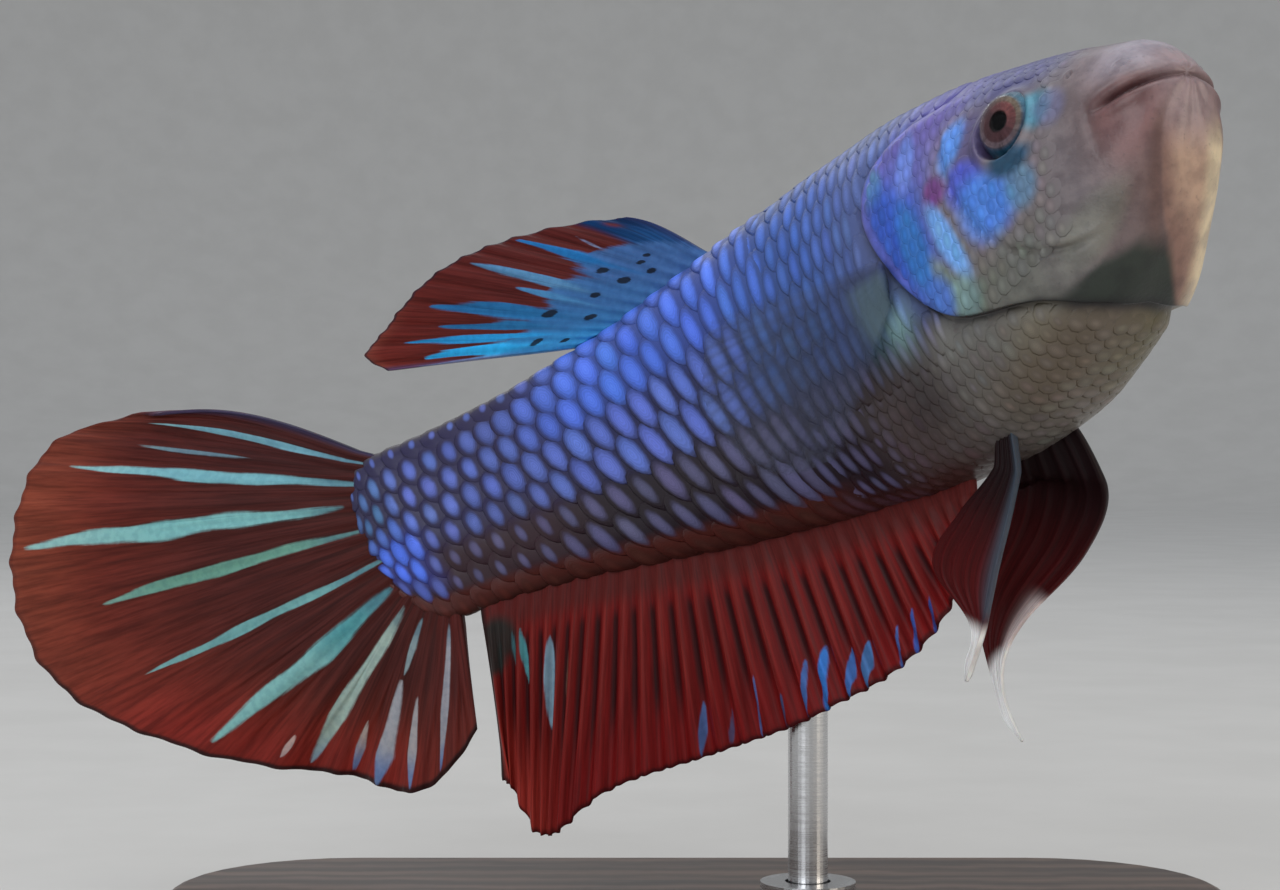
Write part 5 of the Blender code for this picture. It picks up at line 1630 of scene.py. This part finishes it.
def make_pelvic(material, side, word, length, slant, turns_deg, splay, breadths):
    """A narrow blade: its leading edge is the sum of small steps that turn, and rays lie behind it.

    Five ribs run along it and meet in the long thin tip, and the blade is cupped across.
    """
    rows, columns = 150, 41
    out = np.linspace(0.0, 1.0, rows)
    far, across = np.meshgrid(out, np.linspace(0.0, 1.0, columns))
    root_u = body_size(PELVIC_STATION)[1] - FIN_CLEARANCE
    turn = np.radians(smooth_through(out, PELVIC_OUT, turns_deg))
    step = length / (rows - 1)
    back = np.concatenate([[0.0], np.cumsum(step * np.cos(turn[1:]))])
    rise = np.concatenate([[0.0], np.cumsum(step * np.sin(turn[1:]))])
    breadth = smooth_through(out, PELVIC_OUT, breadths) * (1.0 - 0.75 * smooth_step(out, 0.90, 1.0))
    spread = across * breadth
    backs = back - spread * np.sin(turn)
    rises = np.minimum(rise + spread * np.cos(turn), 0.0) + PELVIC_SINK * fade(out, 0.0, 0.10)
    cup = 0.22 * np.sin(np.pi * across) * np.sin(np.pi * np.clip(far / 0.75, 0.0, 1.0))
    aside = side * (PELVIC_ASIDE + smooth_through(out, PELVIC_OUT, splay) + slant * spread + cup)
    points = place(PELVIC_STATION, root_u + rises, aside, ahead=-backs)
    normal = np.cross(np.gradient(points, axis=0), np.gradient(points, axis=1))
    normal /= np.linalg.norm(normal, axis=-1, keepdims=True) + 1e-12
    ridge = np.clip(np.cos(2 * np.pi * PELVIC_RIBS * across), 0.0, 1.0) ** 2
    half = 0.10 + 0.09 * ridge + 0.10 * bell(across, 0.10) + 0.05 * (1.0 - far)
    edge = smooth_step(across, 0.0, 0.03) * fade(across, 0.95, 1.0)
    half = half * (0.45 + 0.55 * edge) * (1.0 - 0.55 * smooth_step(far, 0.97, 1.0))
    ray_place = np.stack([PELVIC_RIBS * across, far * length, 0.0 * far], axis=-1)
    web = {"points": points, "normal": normal, "half": half, "ray_place": ray_place}
    membrane = pelvic_colours(side, far, across, ridge)
    make_web(f"pelvic_blade_{word}", material, web, membrane, NO_STREAK, membrane,
             f"pelvic_fin_{word}")


# ==== pieces: eyes ================================================================================
def turned(profile, centre, axis, up, segments=72):
    """Points of a closed turned solid: a profile of (radius, height) carried round an axis.

    The profile's first and last points are on the axis.
    """
    side = np.cross(up, axis)
    side /= np.linalg.norm(side)
    upright = np.cross(axis, side)
    turn = np.linspace(0.0, 2 * np.pi, segments, endpoint=False)
    ring = np.cos(turn)[:, None] * side + np.sin(turn)[:, None] * upright
    inner = profile[1:-1]
    body = centre + inner[:, 1, None, None] * axis + inner[:, 0, None, None] * ring[None]
    ends = centre + profile[[0, -1], 1, None] * axis
    quads = grid_quads(len(inner), segments, closed=True)[0]
    k = np.arange(segments)
    n = (k + 1) % segments
    total = len(inner) * segments
    first = np.stack([np.full(segments, total), k, n], axis=-1)
    last = np.stack([np.full(segments, total + 1), total - segments + n, total - segments + k], axis=-1)
    return np.vstack([body.reshape(-1, 3), ends]), [quads, np.concatenate([first, last])], turn


# An eye's measures, in mm from its middle or from its axis.
EYE_FORWARD, EYE_UPWARD = 0.24, 0.10    # how far it looks forward and up, for 1 outwards
DOME_GAP = 0.06                    # between the eyeball and the clear dome
PUPIL_EDGE = (0.36, 0.46)
IRIS_RADIUS, IRIS_LEVEL, IRIS_BULGE, PUPIL_DEPTH = 1.10, 1.12, 0.13, 0.10
SOCKET_RADIUS = 1.6
DOME_RADIUS, DOME_FLOOR_RADIUS = 1.56, 1.52
DOME_LENS_RADIUS, DOME_LENS_LEVEL, DOME_LENS_BULGE = 1.14, 1.165, 0.14
PUPIL_BLACK, IRIS_BROWN, IRIS_RED = srgb(3, 3, 5), srgb(66, 44, 48), srgb(100, 60, 60)
RING_MAUVE, RING_BEIGE = srgb(86, 74, 80), srgb(108, 98, 86)
EYE_GREY, EYE_TEAL, EYE_PALE_TEAL = srgb(72, 66, 96), srgb(30, 66, 88), srgb(62, 116, 134)


def iris_colours(radius, turn):
    """Pupil, dark red iris, beige ring, and an outer ring that goes from teal below to grey above."""
    low = np.clip(-np.sin(turn), 0.0, 1.0)
    fore = np.clip(np.cos(turn - 0.5), 0.0, 1.0)
    outer = painted(
        EYE_GREY, (EYE_TEAL, smooth_step(low, 0.15, 0.75)), (EYE_PALE_TEAL, 0.7 * fore * (1.0 - low))
    )
    return painted(
        PUPIL_BLACK,
        (blend(IRIS_BROWN, IRIS_RED, fore), smooth_step(radius, 0.42, 0.54)),
        (blend(RING_MAUVE, RING_BEIGE, fore), smooth_step(radius, 0.84, 0.98)),
        (outer, smooth_step(radius, 1.10, 1.26)),
    )


def eyeball_profile(globe):
    """The eyeball from its pupil's middle over the iris to its back: radius and height."""
    r = np.linspace(0.0, IRIS_RADIUS, 40)
    level = IRIS_LEVEL + IRIS_BULGE * (1.0 - (r / IRIS_RADIUS) ** 2) - PUPIL_DEPTH * fade(r, *PUPIL_EDGE)
    level = level + 0.025 * bell(r - 0.52, 0.07) - 0.02 * bell(r - 0.90, 0.05)
    polar = np.linspace(math.asin(IRIS_LEVEL / globe), math.pi, 60)
    ball = np.stack([globe * np.sin(polar), globe * np.cos(polar)], axis=-1)
    ball[-1, 0] = 0.0
    return np.vstack([np.stack([r, level], axis=-1), ball])


def dome_profile(radius, globe):
    """The clear dome's outside, then its underside, which just clears the eyeball."""
    turn = np.linspace(0.0, math.asin(DOME_RADIUS / radius), 34)
    r = np.linspace(DOME_FLOOR_RADIUS, 0.0, 30)
    lens = DOME_LENS_LEVEL + DOME_LENS_BULGE * (1.0 - (r / DOME_LENS_RADIUS) ** 2)
    under = np.where(r > DOME_LENS_RADIUS, np.sqrt((globe + 0.02) ** 2 - r**2), lens)
    outside = np.stack([radius * np.sin(turn), radius * np.cos(turn)], axis=-1)
    return np.vstack([outside, np.stack([r, under], axis=-1)])


def make_eye(side, word, ball_material, clear_material):
    """An eyeball with a sunk pupil and a shallow iris, and the clear dome that covers them."""
    low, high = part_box(f"eye_{word}")
    centre = np.array((low + high) / 2) / MM
    radius = (high - low)[2] / 2 / MM
    globe = radius - DOME_GAP
    forward, up, left = [sampled(table, np.array(EYE_STATION * (SPINE_POINTS - 1))) for table in SPINE[1:]]
    axis = side * left + EYE_FORWARD * forward + EYE_UPWARD * up
    axis /= np.linalg.norm(axis)
    profile = eyeball_profile(globe)
    points, faces, turn = turned(profile, centre, axis, up)
    in_front = np.where(profile[1:-1, 1] > 0, profile[1:-1, 0], SOCKET_RADIUS)
    radii = np.concatenate([np.repeat(in_front, len(turn)), [0.0, 0.0]])
    turns = np.concatenate([np.tile(turn, len(in_front)), [0.0, 0.0]])
    turns = turns if side < 0 else np.pi - turns
    thread = np.stack([6.0 * np.cos(turns), 6.0 * np.sin(turns), 1.5 * radii], axis=-1)
    glint = 0.15 * smooth_step(radii, 0.9, 1.3)
    ball = make_piece(
        f"eyeball_{word}", points, faces, ball_material,
        colours={"iris": iris_colours(radii, turns)}, numbers={"round_place": thread, "glint": glint},
    )
    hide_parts(f"eye_{word}")
    points, faces = turned(dome_profile(radius, globe), centre, axis, up)[:2]
    cornea = make_piece(f"cornea_{word}", points, faces, clear_material)
    cornea.visible_shadow = False


# ==== stand, floor, light and camera ==============================================================
def finish_stand():
    """Wood and steel on the stand's own nodes."""
    wood, steel = wood_material(), steel_material()
    for node, finish in (("stand_base", wood), ("stand_rod", steel), ("stand_collar", steel)):
        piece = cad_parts[node]
        if not piece.material_slots:
            piece.data.materials.append(finish)
        for held in piece.material_slots:
            held.material = finish


def make_floor():
    """A round floor whose edge sweeps up into a low wall: a profile turned about the upright."""
    flat, bend, wall, segments = 900.0, 400.0, 700.0, 96
    curve = np.linspace(0.0, np.pi / 2, 24)
    radius = np.concatenate([[1.0, 300.0, 600.0], flat + bend * np.sin(curve), [flat + bend]])
    height = np.concatenate([[0.0, 0.0, 0.0], bend * (1 - np.cos(curve)), [wall]])
    turn = np.linspace(0.0, 2 * np.pi, segments, endpoint=False)
    ring = np.stack([np.cos(turn), np.sin(turn)], axis=-1)
    level = np.broadcast_to(height[:, None, None], (len(radius), segments, 1))
    points = np.concatenate([radius[:, None, None] * ring[None], level], axis=-1).reshape(-1, 3)
    quads = grid_quads(len(radius), segments, closed=True)[0]
    mesh = bpy.data.meshes.new("floor")
    faces = [tuple(face) for face in quads[:, ::-1].tolist()] + [tuple(range(segments))]
    mesh.from_pydata((points * MM).tolist(), [], faces)
    mesh.shade_smooth()
    mesh.materials.append(floor_material())
    floor = bpy.data.objects.new("floor", mesh)
    bpy.context.scene.collection.objects.link(floor)


# Each light: its name, its place and its width in mm, its power in watts, and its colour.
LIGHTS = [
    ("overhead", (-60.0, -60.0, 420.0), 320.0, 0.46, (1.0, 0.98, 0.95)),
    ("front fill", (-220.0, -360.0, 160.0), 300.0, 0.80, (0.92, 0.96, 1.0)),
    ("right warm", (340.0, -160.0, 120.0), 200.0, 0.40, (1.0, 0.90, 0.76)),
    ("rear rim", (-120.0, 330.0, 260.0), 220.0, 0.12, (0.95, 0.97, 1.0)),
]
LIT_POINT = (-2.0, 0.0, 26.0)
SKY_COLOUR, SKY_STRENGTH = (0.90, 0.94, 1.0, 1.0), 0.62
CAMERA_PLACE, CAMERA_LENS, CAMERA_FILM = (-3.0, -117.56, 27.5), 68.19, 36.0


def light_scene():
    """Four square soft lights aimed at the fish, and an even pale sky."""
    world = bpy.data.worlds.new("studio")
    world.use_nodes = True
    sky = world.node_tree.nodes["Background"].inputs
    sky["Color"].default_value = SKY_COLOUR
    sky["Strength"].default_value = SKY_STRENGTH
    bpy.context.scene.world = world
    for name, place_at, size, power, colour in LIGHTS:
        data = bpy.data.lights.new(name, "AREA")
        data.shape = "SQUARE"
        data.size = size * MM
        data.energy = power
        data.color = colour
        lamp = bpy.data.objects.new(name, data)
        lamp.visible_camera = False
        bpy.context.scene.collection.objects.link(lamp)
        offset = np.array(place_at) - np.array(LIT_POINT)
        lamp.location = Vector(np.array(place_at) * MM)
        lamp.rotation_euler = Vector(offset).to_track_quat("Z", "Y").to_euler()


def add_camera():
    """Level, in front of the fish's right side, a little over its middle height."""
    data = bpy.data.cameras.new("camera")
    data.lens = CAMERA_LENS
    data.sensor_width = CAMERA_FILM
    data.clip_start = 0.002
    data.clip_end = 20.0
    camera = bpy.data.objects.new("camera", data)
    bpy.context.scene.collection.objects.link(camera)
    camera.location = Vector(np.array(CAMERA_PLACE) * MM)
    camera.rotation_euler = (math.pi / 2, 0.0, 0.0)
    bpy.context.scene.camera = camera


def build():
    """Every piece in turn: the body, its coat, the fins, the eyes, and what is round the fish."""
    make_skin(skin_material())
    make_coat(scale_material())
    membrane = web_material("fin membrane")
    make_dorsal(membrane)
    make_anal(membrane)
    make_caudal(membrane)
    clear = web_material("clear fin", 0.0, clear=True)
    blade = web_material("pelvic blade", 0.08)
    for side, word in ((-1, "right"), (1, "left")):
        make_pectoral(clear, side, word)
    for details in PELVIC_BLADES:
        make_pelvic(blade, *details)
    ball, cornea = eye_material(), cornea_material()
    for side, word in ((-1, "right"), (1, "left")):
        make_eye(side, word, ball, cornea)
    finish_stand()
    make_floor()
    light_scene()
    add_camera()
    bpy.context.scene.view_settings.view_transform = "Standard"


build()
